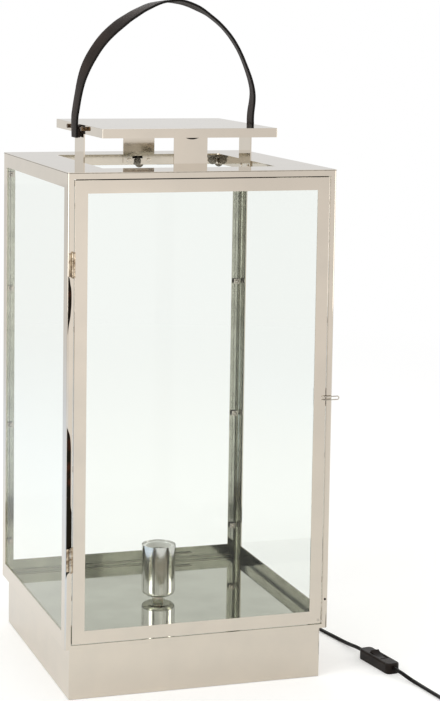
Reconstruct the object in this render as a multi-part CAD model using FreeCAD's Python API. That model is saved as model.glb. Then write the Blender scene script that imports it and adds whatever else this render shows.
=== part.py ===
"""Lantern table lamp: a glazed metal case with a hinged door, a raised roof plate on four
uprights, a leather carrying strap, a lampholder on the floor of the case and a cord with an
inline rocker switch.

Millimetres, +Z up. The origin is at the middle of the underside of the plinth. The door
faces -Y.
"""

import FreeCAD, Part
import math
import os

from FreeCAD import Vector

# ---------------------------------------------------------------- driving dimensions

# Case
case_width = 300.0  # outside, along X
case_depth = 300.0  # outside, along Y
case_top = 566.0  # upper face of the rim plate
case_sheet = 1.5  # thickness of posts, rails and rim
bend_inside = 1.0  # inner radius of the folded posts
post_front_flange = 6.5
post_side_flange = 15.5
post_back_flange = 13.5
top_rail_height = 15.0
bottom_rail_height = 17.0
sill_height = 4.5
fascia_height = 5.5
fascia_return = 7.5

# Plinth
plinth_height = 57.0
plinth_inset = 6.5  # how far the plinth stands back from the case
plinth_sheet = 1.2
plinth_flange = 10.0
skirt_lift = 0.4  # the skirt clears the table; the felt carries the lamp
felt_thickness = 2.0
felt_margin = 15.0  # from the plinth's outside to the felt
cover_sheet = 1.2
cover_gap = 0.5
cover_screw_inset = 7.5  # from the plinth's outside to a screw's axis
floor_thickness = 2.0

# Rim opening, uprights and roof
opening_width = 197.0
opening_flange = 12.0  # height of the folded edge round the opening
upright_width = 38.0
upright_thickness = 1.5
upright_overlap = 10.0  # length of an upright below the rim's upper face
roof_gap = 32.0  # from the rim's upper face to the roof's lower edge
roof_height = 10.0
roof_sheet = 1.0
button_rounding = 0.85  # share of a rivet head's or button's height that its rounding takes
rivet_spacing = 24.0
rivet_radius = 1.5
rivet_drop = 7.0  # from the rim's upper face down to the rivets
rivet_head = (2.8, 1.2)  # radius and height of a rivet's head
rivet_tail = (2.4, 0.9)

# Panes and their clips
pane_thickness = 3.0
pane_edge_gap = 5.0  # from a side pane's front edge to the outside of the case
pane_back_gap = 6.5  # from a side pane's rear edge to the outside of the case
back_pane_side_gap = 6.0
pane_headroom = 2.5  # above the panes, below the rim plate
clip_sheet = 0.8
clip_height = 6.0
clip_bump_radius = 2.4
clip_bump_height = 2.0
clip_side_gap = 0.2  # from a side clip's stem to the post's inner bend
corner_clips_up = (39.0, 181.0)  # from the panes' lower edge
corner_clips_down = (157.0, 22.0)  # from their upper edge
side_clips_up = (51.0, 191.0)
side_clips_down = (162.0, 32.0)
corner_clip_reach = (1.0, 7.0)  # past the back pane's side, and over the pane
corner_bump_place = 3.2  # from the clip's root to its bump
side_clip_reach = (1.2, 8.0)
rail_clip_left = 58.0  # from the back pane's left side
rail_clip_middle = 15.0  # right of the middle
rail_clip_right = 28.0  # from the back pane's right side
rail_clip_drop = 12.5  # below the rim plate
rail_clip_width = 6.0
rail_clip_root_gap = 0.5  # above the back pane
rail_clip_top_gap = 1.2  # below the rim plate
rail_clip_radius = 5.5
rail_clip_button = (3.4, 1.4)  # radius and height

# Door
door_gap_side = 1.2
door_gap_end = 1.2
door_sheet = 1.2
door_depth = 8.0
door_member = 13.8
door_glass_thickness = 3.0
door_glass_gap = 1.0
door_clip_height = 9.0
door_clip_foot = 7.5
door_clip_up = 59.3  # from the door's lower edge
door_clip_middle = 34.75  # above the door's middle
door_clip_down = 57.8  # from the door's upper edge
door_bend = 0.8  # radius of the folded outer edges

# Hinges: two small butt hinges at the left
knuckle_radius = 2.1
hinge_pin_radius = 0.9
hinge_pin_clearance = 0.05
hinge_stand_off = 0.3  # from the case front to the knuckle
leaf_sheet = 0.5
hinge_height = 25.5
hinge_up = 92.1  # from the door's lower edge to the middle of the lower hinge
hinge_down = 88.2  # from its upper edge to the middle of the upper one
knuckle_gap = 0.3
hinge_rivet_radius = 1.1
hinge_rivet_head = (1.9, 0.7)
hinge_rivet_tail = (1.7, 0.5)
hinge_rivet_reach = 8.0  # from a hinge's middle to its rivets
hinge_rivet_inset = 3.0  # from the door's rear edge
hinge_pin_head = (1.6, 0.9)
hinge_pin_tail = 0.3  # how far the pin stands past the leaves
hinge_pin_seat = 0.2  # from the leaves to the pin's heads
hinge_leaf_inset = 0.4  # from the door's rear edge to the leaf

# Door pull and magnet catch
pull_rise = 5.25  # above the door's middle
pull_wire = 1.2
pull_leg_spacing = 3.7
pull_reach = 14.7  # past the door's edge
pull_inset = 4.0  # from the door's edge to where the wire enters it
pull_stand_off = 2.0  # from the door's face to the wire
pull_bend = 1.3
pull_hole_clearance = 0.05
catch_height = 20.0
magnet_radius = 4.0
magnet_thickness = 3.0
catch_gap = 0.3
catch_sheet = 1.0
striker_width = 11.0
magnet_inset = 4.6  # from the door's edge to the magnet's axis
bracket_gap = 0.2  # from the post's front flange

# Carrying strap
strap_width = 20.0
strap_thickness = 2.6
strap_bar_radius = 0.75
strap_bar_length = 66.0
strap_bar_stand_off = 2.4  # from the roof's side to the bar's axis
strap_bar_drop = 4.0  # below the roof's upper face
strap_post_spacing = 60.0
strap_post_radius = 2.4
strap_post_length = 5.3
strap_tab_height = 13.4
strap_end_drop = 11.2  # from the bar down to the strap's end
# centreline of the strap's arch, in the XZ plane, above its two straight ends: how far in from
# the nearer end, and how far above the roof's upper face
strap_arch_left = (
    (1.3, 16.0),
    (3.7, 32.0),
    (7.7, 51.5),
    (15.3, 70.0),
    (28.6, 90.5),
    (47.1, 108.0),
    (71.1, 123.2),
    (94.1, 131.9),
)
strap_arch_right = (
    (90.1, 135.6),
    (68.1, 132.5),
    (48.1, 121.3),
    (30.1, 104.0),
    (15.6, 83.5),
    (5.5, 61.5),
    (-0.2, 40.0),
    (-1.3, 22.0),
)
strap_straight = 5.0  # from the bar up to where the arch starts
strap_start = 7.0  # height of the first points of the arch above that
strap_start_left = 0.15  # how far in they lie
strap_start_right = -0.3
strap_bar_gap = 0.15  # from a bar to the strap's inner face
strap_bar_clearance = 0.05
strap_post_neck = 1.25  # radius where a post passes through the roof's side
strap_post_hole = 1.35
strap_post_peen = (2.2, 0.9)  # radius and length
strap_tab_gap = 0.3  # from the roof's side
strap_tab_lift = 0.4  # above the strap's end
strap_tab_wall = 1.4
strap_tab_slit = (1.7, 3.5)  # width and height

# Lampholder, size E27
cup_radius = 19.5
cup_wall = 0.8
cup_stand_off = 5.2  # above the floor of the case
cup_height = 58.8
cup_corner = 5.5
insert_clearance = 0.2
insert_drop = 1.6  # below the cup's mouth
insert_height = 45.0
insert_floor = 9.0
shell_bore = 26.6  # clear diameter between the thread's crests
shell_wall = 0.4
thread_pitch = 3.6
thread_depth = 0.8
thread_turns = 6
shell_foot = 6.0  # height of the shell's narrow foot
shell_foot_step = 1.3  # how much narrower the foot is than the bore
shell_hole = 6.5  # radius of the hole in the foot, for the contact
shell_lip = 1.0  # plain part above and below the thread
insert_edge = 0.8
insert_bore_gap = 0.1
wire_hole_radius = 1.6
wire_hole_place = 7.0
contact_width = 5.0
contact_sheet = 0.5
contact_height = 5.0
contact_back = 3.0  # from the lamp's axis to the contact's bend
contact_foot = 6.0
contact_tongue = 4.0
nipple_radius = 4.0
nipple_bore = 2.7
nipple_drop = 13.0  # below the plinth's upper face
nipple_rise = 6.8  # above the cup's underside
collar_radius = 6.0
collar_height = 1.6
spacer_radius = 4.7
nut_across = 12.0
nut_height = 3.5

# Cord: flat twin cord, 4.4 wide; its tubes are round
cord_diameter = 4.4
gland_place = 95.0  # along the back of the plinth
gland_height = 12.0
gland_flange_radius = 6.5
gland_neck_radius = 4.7
gland_tail = 22.0
cord_rest = cord_diameter / 2

# Route of the cord behind the lamp, from the strain relief to the switch
back_route = (
    (95.0, 167.5, 12.0),
    (95.0, 183.5, 12.0),
    (105.0, 199.5, 6.6),
    (127.0, 206.0, cord_rest),
    (153.0, 199.0, cord_rest),
    (173.0, 181.0, cord_rest),
    (186.0, 156.0, cord_rest),
    (193.6, 127.0, cord_rest),
    (198.4, 96.0, cord_rest),
    (201.6, 64.0, cord_rest),
    (203.2, 33.0, cord_rest),
    (206.6, 3.0, cord_rest),
    (210.0, -15.5, cord_rest),
    (213.4, -37.5, cord_rest),
    (215.6, -58.5, 3.4),
    (216.83, -80.2, 6.5),
    (218.9, -96.07, 6.5),
)

# Inline rocker switch
switch_length = 65.0
switch_width = 17.0
switch_height = 12.0
switch_split = 5.5
switch_place = (223.1, -128.3)
switch_turn = 0.13  # radians, from straight towards the front
switch_wall = 1.5
switch_end_radius = 5.8
rocker_radius = 12.4
rocker_width = 10.0
rocker_gap = 0.5
rocker_pivot = 7.6
rocker_tilt = 8.0
rocker_dish = 24.0
rocker_horn = 30.0  # degrees above level at which the rocker's ends finish
rocker_pin_radius = 1.2
rocker_pin_clearance = 0.06
rocker_pin_length = 1.6
switch_screw_place = 24.0
switch_screw_radius = 1.1

# Cord from the switch to the coil, the coil and the plug
coil_step = 5.0  # from one turn to the next
coil_layer = 4.85  # from one layer to the next
coil_middle = 26.0  # mean radius of the turns
coil_half_turns = 7  # in each of the two layers
coil_tuck = 0.6  # how much nearer to the middle the climbing half turn lies
coil_height = 2.75
coil_straight = 5.0
front_route = (
    (227.31, -160.53, 6.5),
    (229.12, -174.42, 6.5),
    (233.6, -191.0, 3.0),
    (238.0, -210.0, cord_rest),
    (240.2, -231.0, cord_rest),
    (243.0, -253.0, coil_height),
    (243.0, -270.0, coil_height),
)
plug_length = 36.0
plug_width = 35.3
plug_thickness = 14.4
plug_rear_width = 17.0
plug_relief = 18.0
plug_pin_radius = 2.0
plug_pin_length = 19.0
plug_pin_spacing = 18.6

# ---------------------------------------------------------------- derived sizes

half_x = case_width / 2
half_y = case_depth / 2
rim_under = case_top - case_sheet
inner_x = half_x - case_sheet
inner_y = half_y - case_sheet
plinth_x = half_x - plinth_inset
plinth_y = half_y - plinth_inset
floor_top = plinth_height + floor_thickness
half_opening = opening_width / 2
cup_bottom = floor_top + cup_stand_off
cup_top = cup_bottom + cup_height
nipple_bottom = plinth_height - nipple_drop
nipple_top = cup_bottom + nipple_rise
roof_half = half_opening + roof_sheet
rivet_level = case_top - rivet_drop
roof_bottom = case_top + roof_gap
roof_top = roof_bottom + roof_height
pane_bottom = floor_top
pane_top = rim_under - pane_headroom
door_half = half_x - post_front_flange - door_gap_side
door_bottom = plinth_height + sill_height + door_gap_end
door_top = rim_under - fascia_height - door_gap_end
door_front = -half_y
door_middle = (door_bottom + door_top) / 2
door_clip_levels = (door_bottom + door_clip_up, door_middle + door_clip_middle,
                    door_top - door_clip_down)
hinge_levels = (door_bottom + hinge_up, door_top - hinge_down)
pull_level = door_middle + pull_rise
back_pane_half = half_x - back_pane_side_gap
corner_clip_levels = ([pane_bottom + up for up in corner_clips_up]
                      + [pane_top - down for down in corner_clips_down])
side_clip_levels = ([pane_bottom + up for up in side_clips_up]
                    + [pane_top - down for down in side_clips_down])
rail_clip_places = (-back_pane_half + rail_clip_left, rail_clip_middle,
                    back_pane_half - rail_clip_right)
rail_clip_level = rim_under - rail_clip_drop
hinge_x = -door_half - knuckle_radius
hinge_y = door_front - hinge_stand_off - knuckle_radius
bar_x = roof_half + strap_bar_stand_off
bar_z = roof_top - strap_bar_drop
strap_end_x = bar_x + strap_bar_radius + strap_bar_gap + strap_thickness / 2
coil_start_radius = coil_middle + coil_half_turns * coil_step / 4


# ---------------------------------------------------------------- helpers

def box(x0, x1, y0, y1, z0, z1):
    return Part.makeBox(x1 - x0, y1 - y0, z1 - z0, Vector(x0, y0, z0))


def rod(start, end, radius):
    start, end = Vector(*start), Vector(*end)
    return Part.makeCylinder(radius, (end - start).Length, start, end - start)


def cone(start, end, start_radius, end_radius):
    start, end = Vector(*start), Vector(*end)
    return Part.makeCone(start_radius, end_radius, (end - start).Length, start, end - start)


def dome(base, direction, radius, height):
    """A low round button that stands on base, with its edge rounded over."""
    base, direction = Vector(*base), Vector(*direction)
    button = Part.makeCylinder(radius, height, base, direction)
    top = base + direction * height
    rim = [e for e in button.Edges if e.Closed and (e.CenterOfMass - top).Length < height / 4]
    return button.makeFillet(button_rounding * height, rim)


def rivet(start, end, radius, head, tail):
    """A rivet with domes, given as (radius, height), on both ends of its shank."""
    along = Vector(*end) - Vector(*start)
    along.normalize()
    return rod(start, end, radius).fuse([dome(start, along * -1, *head), dome(end, along, *tail)])


def prism(points, z0, z1):
    """A solid with an outline in the XY plane."""
    corners = [Vector(x, y, z0) for x, y in points]
    face = Part.Face(Part.makePolygon(corners + corners[:1]))
    return face.extrude(Vector(0, 0, z1 - z0))


def revolve(points):
    """A solid turned about Z from an outline of (radius, height) points."""
    corners = [Vector(r, 0, z) for r, z in points]
    face = Part.Face(Part.makePolygon(corners + corners[:1]))
    return face.revolve(Vector(0, 0, 0), Vector(0, 0, 1), 360)


def upright_edges(shape, places):
    """The vertical edges of a shape that stand at the given (x, y) places."""
    found = []
    for edge in shape.Edges:
        low, high = edge.Vertexes[0].Point, edge.Vertexes[-1].Point
        level = abs(low.x - high.x) + abs(low.y - high.y)
        if level > 1e-6:
            continue
        if any(math.hypot(low.x - x, low.y - y) < 1e-4 for x, y in places):
            found.append(edge)
    return found


def edges_at_height(shape, height):
    return [e for e in shape.Edges if all(abs(v.Z - height) < 1e-6 for v in e.Vertexes)]


def slab(width, depth, z0, z1, corner):
    """A level plate, centred on the origin, with rounded corners."""
    x, y = width / 2, depth / 2
    plate = box(-x, x, -y, y, z0, z1)
    corners = [(-x, -y), (x, -y), (x, y), (-x, y)]
    return plate.makeFillet(corner, upright_edges(plate, corners))


def mirrored(shape, x_sign, y_sign):
    if x_sign < 0:
        shape = shape.mirror(Vector(0, 0, 0), Vector(1, 0, 0))
    if y_sign < 0:
        shape = shape.mirror(Vector(0, 0, 0), Vector(0, 1, 0))
    return shape


def turned(shape, degrees):
    """A copy turned about the Z axis."""
    copy = shape.copy()
    copy.rotate(Vector(0, 0, 0), Vector(0, 0, 1), degrees)
    return copy


def save(node, *solids):
    shape = solids[0] if len(solids) == 1 else Part.makeCompound(list(solids))
    shape.exportStep(f"parts/{node}.step")
    return shape


def tangent_arc(start, direction, end):
    """The arc that leaves start along direction and reaches end, as three points."""
    chord = end - start
    along = chord.dot(direction)
    across = chord - direction * along
    radius = chord.dot(chord) / (2 * across.Length)
    normal = Vector(across)
    normal.normalize()
    centre = start + normal * radius
    half = math.atan2(across.Length, along)
    middle = centre - normal * radius * math.cos(half) + direction * radius * math.sin(half)
    return Part.Arc(start, middle, end).toShape()


def route_wire(points):
    """Straight runs through the points, joined by tangent arcs."""
    points = [Vector(*p) for p in points]
    edges, radii, at = [], [], points[0]
    for before, corner, after in zip(points, points[1:], points[2:]):
        arriving, leaving = corner - before, after - corner
        turn = arriving.getAngle(leaving)
        cut = 0.45 * min(arriving.Length, leaving.Length)
        radii.append(cut / math.tan(turn / 2))
        arriving.normalize()
        leaving.normalize()
        enter, leave = corner - arriving * cut, corner + leaving * cut
        inward = leaving - arriving
        inward.normalize()
        depth = radii[-1] * (1 / math.cos(turn / 2) - 1)
        edges.append(Part.LineSegment(at, enter).toShape())
        edges.append(Part.Arc(enter, corner + inward * depth, leave).toShape())
        at = leave
    edges.append(Part.LineSegment(at, points[-1]).toShape())
    return Part.Wire(edges), radii


def pipe(wire, radius):
    first = wire.Edges[0]
    start = first.valueAt(first.FirstParameter)
    direction = first.tangentAt(first.FirstParameter)
    ring = Part.Wire(Part.makeCircle(radius, start, direction))
    return wire.makePipeShell([ring], True, False)


def cord_tube(name, points):
    wire, radii = route_wire(points)
    solid = pipe(wire, cord_diameter / 2)
    expected = math.pi * cord_diameter ** 2 / 4 * wire.Length
    print(f"{name}: length {wire.Length:.1f}, smallest radius {min(radii):.1f},",
          f"radii {[round(r) for r in radii]},",
          f"volume {solid.Volume / expected:.4f} of section x length")
    return solid


# ---------------------------------------------------------------- plinth

def plinth_skirt():
    def ring(width_in, z0, z1):
        outer = box(-plinth_x, plinth_x, -plinth_y, plinth_y, z0, z1)
        hole = box(-plinth_x + width_in, plinth_x - width_in,
                   -plinth_y + width_in, plinth_y - width_in, z0 - 1, z1 + 1)
        return outer.cut(hole)

    cover_top = felt_thickness + cover_sheet
    wall = ring(plinth_sheet, skirt_lift, plinth_height)
    top = ring(plinth_flange, plinth_height - plinth_sheet, plinth_height)
    bottom = ring(plinth_flange, cover_top, cover_top + plinth_sheet)
    skirt = wall.fuse([top, bottom]).removeSplitter()
    hole = rod((gland_place, plinth_y - plinth_flange, gland_height),
               (gland_place, plinth_y + 1, gland_height), gland_neck_radius + 0.1)
    skirt = skirt.cut(hole)
    for x, y in cover_screw_axes():
        skirt = skirt.cut(rod((x, y, 0), (x, y, plinth_height / 2), 1.6))
    corners = [(sx * plinth_x, sy * plinth_y) for sx in (-1, 1) for sy in (-1, 1)]
    return skirt.makeFillet(1.2, upright_edges(skirt, corners))


def cover_screw_axes():
    x, y = plinth_x - cover_screw_inset, plinth_y - cover_screw_inset
    return [(sx * x, sy * y) for sx in (-1, 1) for sy in (-1, 1)]


def bottom_cover():
    x = plinth_x - plinth_sheet - cover_gap
    y = plinth_y - plinth_sheet - cover_gap
    plate = slab(2 * x, 2 * y, felt_thickness, felt_thickness + cover_sheet, 2.0)
    for sx, sy in cover_screw_axes():
        plate = plate.cut(rod((sx, sy, 0), (sx, sy, plinth_height / 2), 1.6))
    return plate


def cover_screws():
    screws = []
    cover_top = felt_thickness + cover_sheet
    for x, y in cover_screw_axes():
        head = cone((x, y, felt_thickness - 1.2), (x, y, felt_thickness), 2.2, 2.8)
        shank = rod((x, y, felt_thickness), (x, y, cover_top + plinth_sheet + 3), 1.5)
        slot = box(x - 0.4, x + 0.4, y - 3, y + 3, 0, felt_thickness - 0.8)
        screws.append(head.fuse(shank).cut(slot))
    return screws


def base_felt():
    width = 2 * (plinth_x - felt_margin)
    depth = 2 * (plinth_y - felt_margin)
    return slab(width, depth, 0, felt_thickness, 6.0)


# ---------------------------------------------------------------- case

def post(front):
    """A folded L-section post for the corner at (-x, -y) or, if not front, (-x, +y)."""
    flange = post_front_flange if front else post_back_flange
    x, y, t = -half_x, -half_y, case_sheet
    outline = [(x, y), (x + flange, y), (x + flange, y + t), (x + t, y + t),
               (x + t, y + post_side_flange), (x, y + post_side_flange)]
    solid = prism(outline, plinth_height, rim_under)
    solid = solid.makeFillet(bend_inside, upright_edges(solid, [(x + t, y + t)]))
    solid = solid.makeFillet(bend_inside + t, upright_edges(solid, [(x, y)]))
    return solid if front else mirrored(solid, 1, -1)


def floor_plate():
    plate = slab(2 * inner_x, 2 * inner_y, plinth_height, floor_top, bend_inside + 0.3)
    return plate.cut(rod((0, 0, plinth_height - 1), (0, 0, floor_top + 1), nipple_radius + 0.1))


def side_rail(z0, z1):
    """The rail on the left side; flush with the posts' flanges."""
    y = half_y - post_side_flange
    return box(-half_x, -inner_x, -y, y, z0, z1)


def back_rail(z0, z1):
    x = half_x - post_back_flange
    return box(-x, x, inner_y, half_y, z0, z1)


def front_sill():
    x = half_x - post_front_flange
    return box(-x, x, -half_y, -inner_y, plinth_height, plinth_height + sill_height)


def front_fascia():
    x = half_x - post_front_flange
    front = box(-x, x, -half_y, -inner_y, rim_under - fascia_height, rim_under)
    back = box(-x, x, -inner_y, -inner_y + fascia_return, rim_under - case_sheet, rim_under)
    return front.fuse(back).removeSplitter()


def rim_plate():
    plate = slab(case_width, case_depth, rim_under, case_top, bend_inside + case_sheet)
    tube = half_opening + case_sheet
    flange = box(-tube, tube, -tube, tube, case_top - opening_flange, case_top)
    hole = slab(opening_width, opening_width, case_top - opening_flange - 1, case_top + 1, 2.0)
    rim = plate.fuse(flange).cut(hole).removeSplitter()
    for shaft in rivet_axes(half_opening - 1, tube + 1):
        rim = rim.cut(rod(*shaft, rivet_radius + 0.1))
    return rim


# ---------------------------------------------------------------- uprights and roof

def rivet_axes(near, far):
    """Start and end of each rivet of the uprights, between two distances from the middle."""
    axes = []
    for side in range(4):
        for along in (-rivet_spacing / 2, rivet_spacing / 2):
            angle = math.radians(90 * side)
            ends = []
            for reach in (near, far):
                x = along * math.cos(angle) + reach * math.sin(angle)
                y = along * math.sin(angle) - reach * math.cos(angle)
                ends.append((x, y, rivet_level))
            axes.append(ends)
    return axes


def front_upright():
    x, y = upright_width / 2, half_opening
    strip = box(-x, x, -y, -y + upright_thickness,
                case_top - upright_overlap, roof_top - roof_sheet)
    for shaft in rivet_axes(half_opening - 5, half_opening + 5)[:2]:
        strip = strip.cut(rod(*shaft, rivet_radius + 0.1))
    return strip


def upright_rivets():
    rivets = []
    inner = half_opening - upright_thickness
    outer = half_opening + case_sheet
    for start, end in rivet_axes(inner, outer):
        rivets.append(rivet(start, end, rivet_radius, rivet_head, rivet_tail))
    return rivets


def roof_plate():
    outer = box(-roof_half, roof_half, -roof_half, roof_half, roof_bottom, roof_top)
    corners = [(sx * roof_half, sy * roof_half) for sx in (-1, 1) for sy in (-1, 1)]
    outer = outer.makeFillet(1.2, upright_edges(outer, corners))
    outer = outer.makeFillet(0.6, edges_at_height(outer, roof_top))
    inner = roof_half - roof_sheet
    hollow = box(-inner, inner, -inner, inner, roof_bottom - 1, roof_top - roof_sheet)
    roof = outer.cut(hollow)
    for x_sign in (-1, 1):
        for y_sign in (-1, 1):
            y = y_sign * strap_post_spacing / 2
            start = (x_sign * (roof_half - 3), y, bar_z)
            roof = roof.cut(rod(start, (x_sign * (roof_half + 1), y, bar_z), strap_post_hole))
    return roof


# ---------------------------------------------------------------- carrying strap

def strap_posts():
    posts = []
    peen_radius, peen_length = strap_post_peen
    for x_sign in (-1, 1):
        for y_sign in (-1, 1):
            y = y_sign * strap_post_spacing / 2
            face, tip = x_sign * roof_half, x_sign * (roof_half + strap_post_length)
            inside = x_sign * (roof_half - roof_sheet)
            tail = x_sign * (roof_half - roof_sheet - peen_length)
            body = rod((face, y, bar_z), (tip, y, bar_z), strap_post_radius)
            neck = rod((inside, y, bar_z), (face, y, bar_z), strap_post_neck)
            peen = rod((tail, y, bar_z), (inside, y, bar_z), peen_radius)
            bar = x_sign * bar_x
            hole = rod((bar, y - 4, bar_z), (bar, y + 4, bar_z),
                       strap_bar_radius + strap_bar_clearance)
            posts.append(body.fuse([neck, peen]).cut(hole))
    return posts


def strap_bars():
    y = strap_bar_length / 2
    return [rod((x, -y, bar_z), (x, y, bar_z), strap_bar_radius) for x in (-bar_x, bar_x)]


def ribbon(points, thickness, width):
    """A strip that follows a smooth line through (x, z) points, centred on y = 0."""
    middle = Part.BSplineCurve()
    middle.interpolate([Vector(x, -width / 2, z) for x, z in points])
    sides = []
    for offset in (-thickness / 2, thickness / 2):
        offset_points = []
        for x, z in points:
            at = middle.parameter(Vector(x, -width / 2, z))
            along = middle.tangent(at)[0]
            offset_points.append(Vector(x - along.z * offset, -width / 2, z + along.x * offset))
        curve = Part.BSplineCurve()
        curve.interpolate(offset_points)
        sides.append((curve, offset_points))
    (low, low_line), (high, high_line) = sides
    edges = [low.toShape(), Part.makeLine(low_line[-1], high_line[-1]),
             high.toShape(), Part.makeLine(high_line[0], low_line[0])]
    face = Part.Face(Part.Wire(Part.__sortEdges__(edges)))
    return face.extrude(Vector(0, width, 0))


def leather_strap():
    low = bar_z + strap_straight
    start = low + strap_start
    end = strap_end_x
    path = [(-end, low), (-end + strap_start_left, start)]
    path += [(-end + x, roof_top + z) for x, z in strap_arch_left]
    path += [(end - x, roof_top + z) for x, z in strap_arch_right]
    path += [(end - strap_start_right, start), (end, low)]
    solids = [ribbon(path, strap_thickness, strap_width)]
    half = strap_thickness / 2
    for x_sign in (-1, 1):
        bottom = bar_z - strap_end_drop + half
        x0, x1 = sorted((x_sign * (end - half), x_sign * (end + half)))
        leg = box(x0, x1, -strap_width / 2, strap_width / 2, bottom, low)
        y = strap_width / 2
        rounded = rod((x_sign * end, -y, bottom), (x_sign * end, y, bottom), half)
        solids += [leg, rounded]
    return solids[0].fuse(solids[1:]).removeSplitter()


def strap_tabs():
    """The leather tabs that trap the bars against the strap's ends."""
    tabs = []
    slit_width, slit_height = strap_tab_slit
    outer = strap_end_x - strap_thickness / 2
    inner = roof_half + strap_tab_gap
    slit_inner = inner + strap_tab_wall
    bottom = bar_z - strap_end_drop + strap_tab_lift
    y = strap_width / 2
    for x_sign in (-1, 1):
        x0, x1 = sorted((x_sign * inner, x_sign * outer))
        tab = box(x0, x1, -y, y, bottom, bottom + strap_tab_height)
        x0, x1 = sorted((x_sign * slit_inner, x_sign * (slit_inner + slit_width)))
        slit = box(x0, x1, -y - 1, y + 1, bottom - 1, bottom + slit_height)
        bar = x_sign * bar_x
        hole = rod((bar, -y - 1, bar_z), (bar, y + 1, bar_z),
                   strap_bar_radius + strap_bar_clearance)
        tabs.append(tab.cut([slit, hole]))
    return tabs


# ---------------------------------------------------------------- panes and clips

def side_pane():
    """The left pane."""
    return box(-inner_x, -inner_x + pane_thickness, -half_y + pane_edge_gap,
               half_y - pane_back_gap, pane_bottom, pane_top)


def back_pane():
    x = back_pane_half
    return box(-x, x, inner_y - pane_thickness, inner_y, pane_bottom, pane_top)


def corner_clip(x_sign, level):
    """A bent tab in a back corner; its foot lies on the back pane and ends in a bump."""
    past_side, over_pane = corner_clip_reach
    x = back_pane_half + past_side
    pane_face = inner_y - pane_thickness
    z0, z1 = level - clip_height / 2, level + clip_height / 2
    root = box(x, x + clip_sheet, pane_face - clip_sheet, inner_y, z0, z1)
    foot = box(x - over_pane, x + clip_sheet, pane_face - clip_sheet, pane_face, z0, z1)
    bump = dome((x - corner_bump_place, pane_face - clip_sheet, level), (0, -1, 0),
                clip_bump_radius, clip_bump_height)
    return mirrored(root.fuse([foot, bump]).removeSplitter(), x_sign, 1)


def side_clip(x_sign, level):
    """A bent tab on a front post; its foot lies on the side pane."""
    past_edge, over_pane = side_clip_reach
    y = half_y - pane_edge_gap + past_edge
    pane_face = inner_x - pane_thickness
    z0, z1 = level - clip_height / 2, level + clip_height / 2
    stem_x = inner_x - bend_inside - clip_side_gap
    root = box(pane_face - clip_sheet, stem_x, y, y + clip_sheet, z0, z1)
    foot = box(pane_face - clip_sheet, pane_face, y - over_pane, y + clip_sheet, z0, z1)
    stem = box(stem_x - clip_sheet, stem_x, y, inner_y, z0, z1)
    return mirrored(root.fuse([foot, stem]).removeSplitter(), x_sign, -1)


def rail_clip(place):
    """A round-ended tab on the back rail that holds the back pane's upper edge."""
    pane_face = inner_y - pane_thickness
    left, right = place - rail_clip_width / 2, place + rail_clip_width / 2
    root_level = pane_top + rail_clip_root_gap
    root = box(left, right, pane_face - clip_sheet, inner_y, root_level, root_level + clip_sheet)
    strip = box(left, right, pane_face - clip_sheet, pane_face,
                rail_clip_level, rim_under - rail_clip_top_gap)
    front = (place, pane_face - clip_sheet, rail_clip_level)
    disc = rod(front, (place, pane_face, rail_clip_level), rail_clip_radius)
    return root.fuse([strip, disc, dome(front, (0, -1, 0), *rail_clip_button)]).removeSplitter()


def pane_clips():
    clips = []
    for x_sign in (-1, 1):
        clips += [corner_clip(x_sign, level) for level in corner_clip_levels]
        clips += [side_clip(x_sign, level) for level in side_clip_levels]
    return clips


# ---------------------------------------------------------------- door

def door_frame():
    y0, y1 = door_front, door_front + door_depth
    outer = box(-door_half, door_half, y0, y1, door_bottom, door_top)
    pan = box(-door_half + door_sheet, door_half - door_sheet, y0 + door_sheet, y1 + 1,
              door_bottom + door_sheet, door_top - door_sheet)
    window = box(-door_half + door_member, door_half - door_member, y0 - 1, y1 + 1,
                 door_bottom + door_member, door_top - door_member)
    frame = outer.cut([pan, window])
    for _, z in pull_legs():
        x = door_half - pull_inset
        frame = frame.cut(rod((x, y0 - 1, z), (x, y0 + 3, z),
                              pull_wire / 2 + pull_hole_clearance))
    for y, z in hinge_rivet_places():
        frame = frame.cut(rod((-door_half - 1, y, z), (-door_half + 3, y, z),
                              hinge_rivet_radius + hinge_pin_clearance))
    corners = [(sx * door_half, y0) for sx in (-1, 1)]
    return frame.makeFillet(door_bend, upright_edges(frame, corners))


def door_glass():
    edge = door_sheet + door_glass_gap
    front = door_front + door_sheet
    return box(-door_half + edge, door_half - edge, front, front + door_glass_thickness,
               door_bottom + edge, door_top - edge)


def door_glass_clips():
    clips = []
    front = door_front + door_sheet
    face = front + door_glass_thickness
    wall = door_half - door_sheet
    for level in door_clip_levels:
        z0, z1 = level - door_clip_height / 2, level + door_clip_height / 2
        root = box(wall - clip_sheet, wall, front, face + clip_sheet, z0, z1)
        foot = box(wall - door_clip_foot, wall, face, face + clip_sheet, z0, z1)
        clip = root.fuse(foot).removeSplitter()
        clips += [clip, mirrored(clip, -1, 1)]
    return clips


def hinge_rivet_places():
    y = door_front + door_depth - hinge_rivet_inset
    return [(y, level + offset) for level in hinge_levels
            for offset in (-hinge_rivet_reach, hinge_rivet_reach)]


def hinge_sections(level):
    """The lower, middle and upper knuckle as (z0, z1)."""
    bottom, part = level - hinge_height / 2, hinge_height / 3
    return [(bottom + i * part + knuckle_gap / 2, bottom + (i + 1) * part - knuckle_gap / 2)
            for i in range(3)]


def knuckle(z0, z1, leaf_x):
    """A knuckle with the strip that ties it to its leaf."""
    tube = rod((hinge_x, hinge_y, z0), (hinge_x, hinge_y, z1), knuckle_radius)
    tie = box(leaf_x, leaf_x + leaf_sheet, hinge_y, door_front + 0.5, z0, z1)
    bore = rod((hinge_x, hinge_y, z0 - 1), (hinge_x, hinge_y, z1 + 1),
               hinge_pin_radius + hinge_pin_clearance)
    return tube.fuse(tie).cut(bore)


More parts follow.
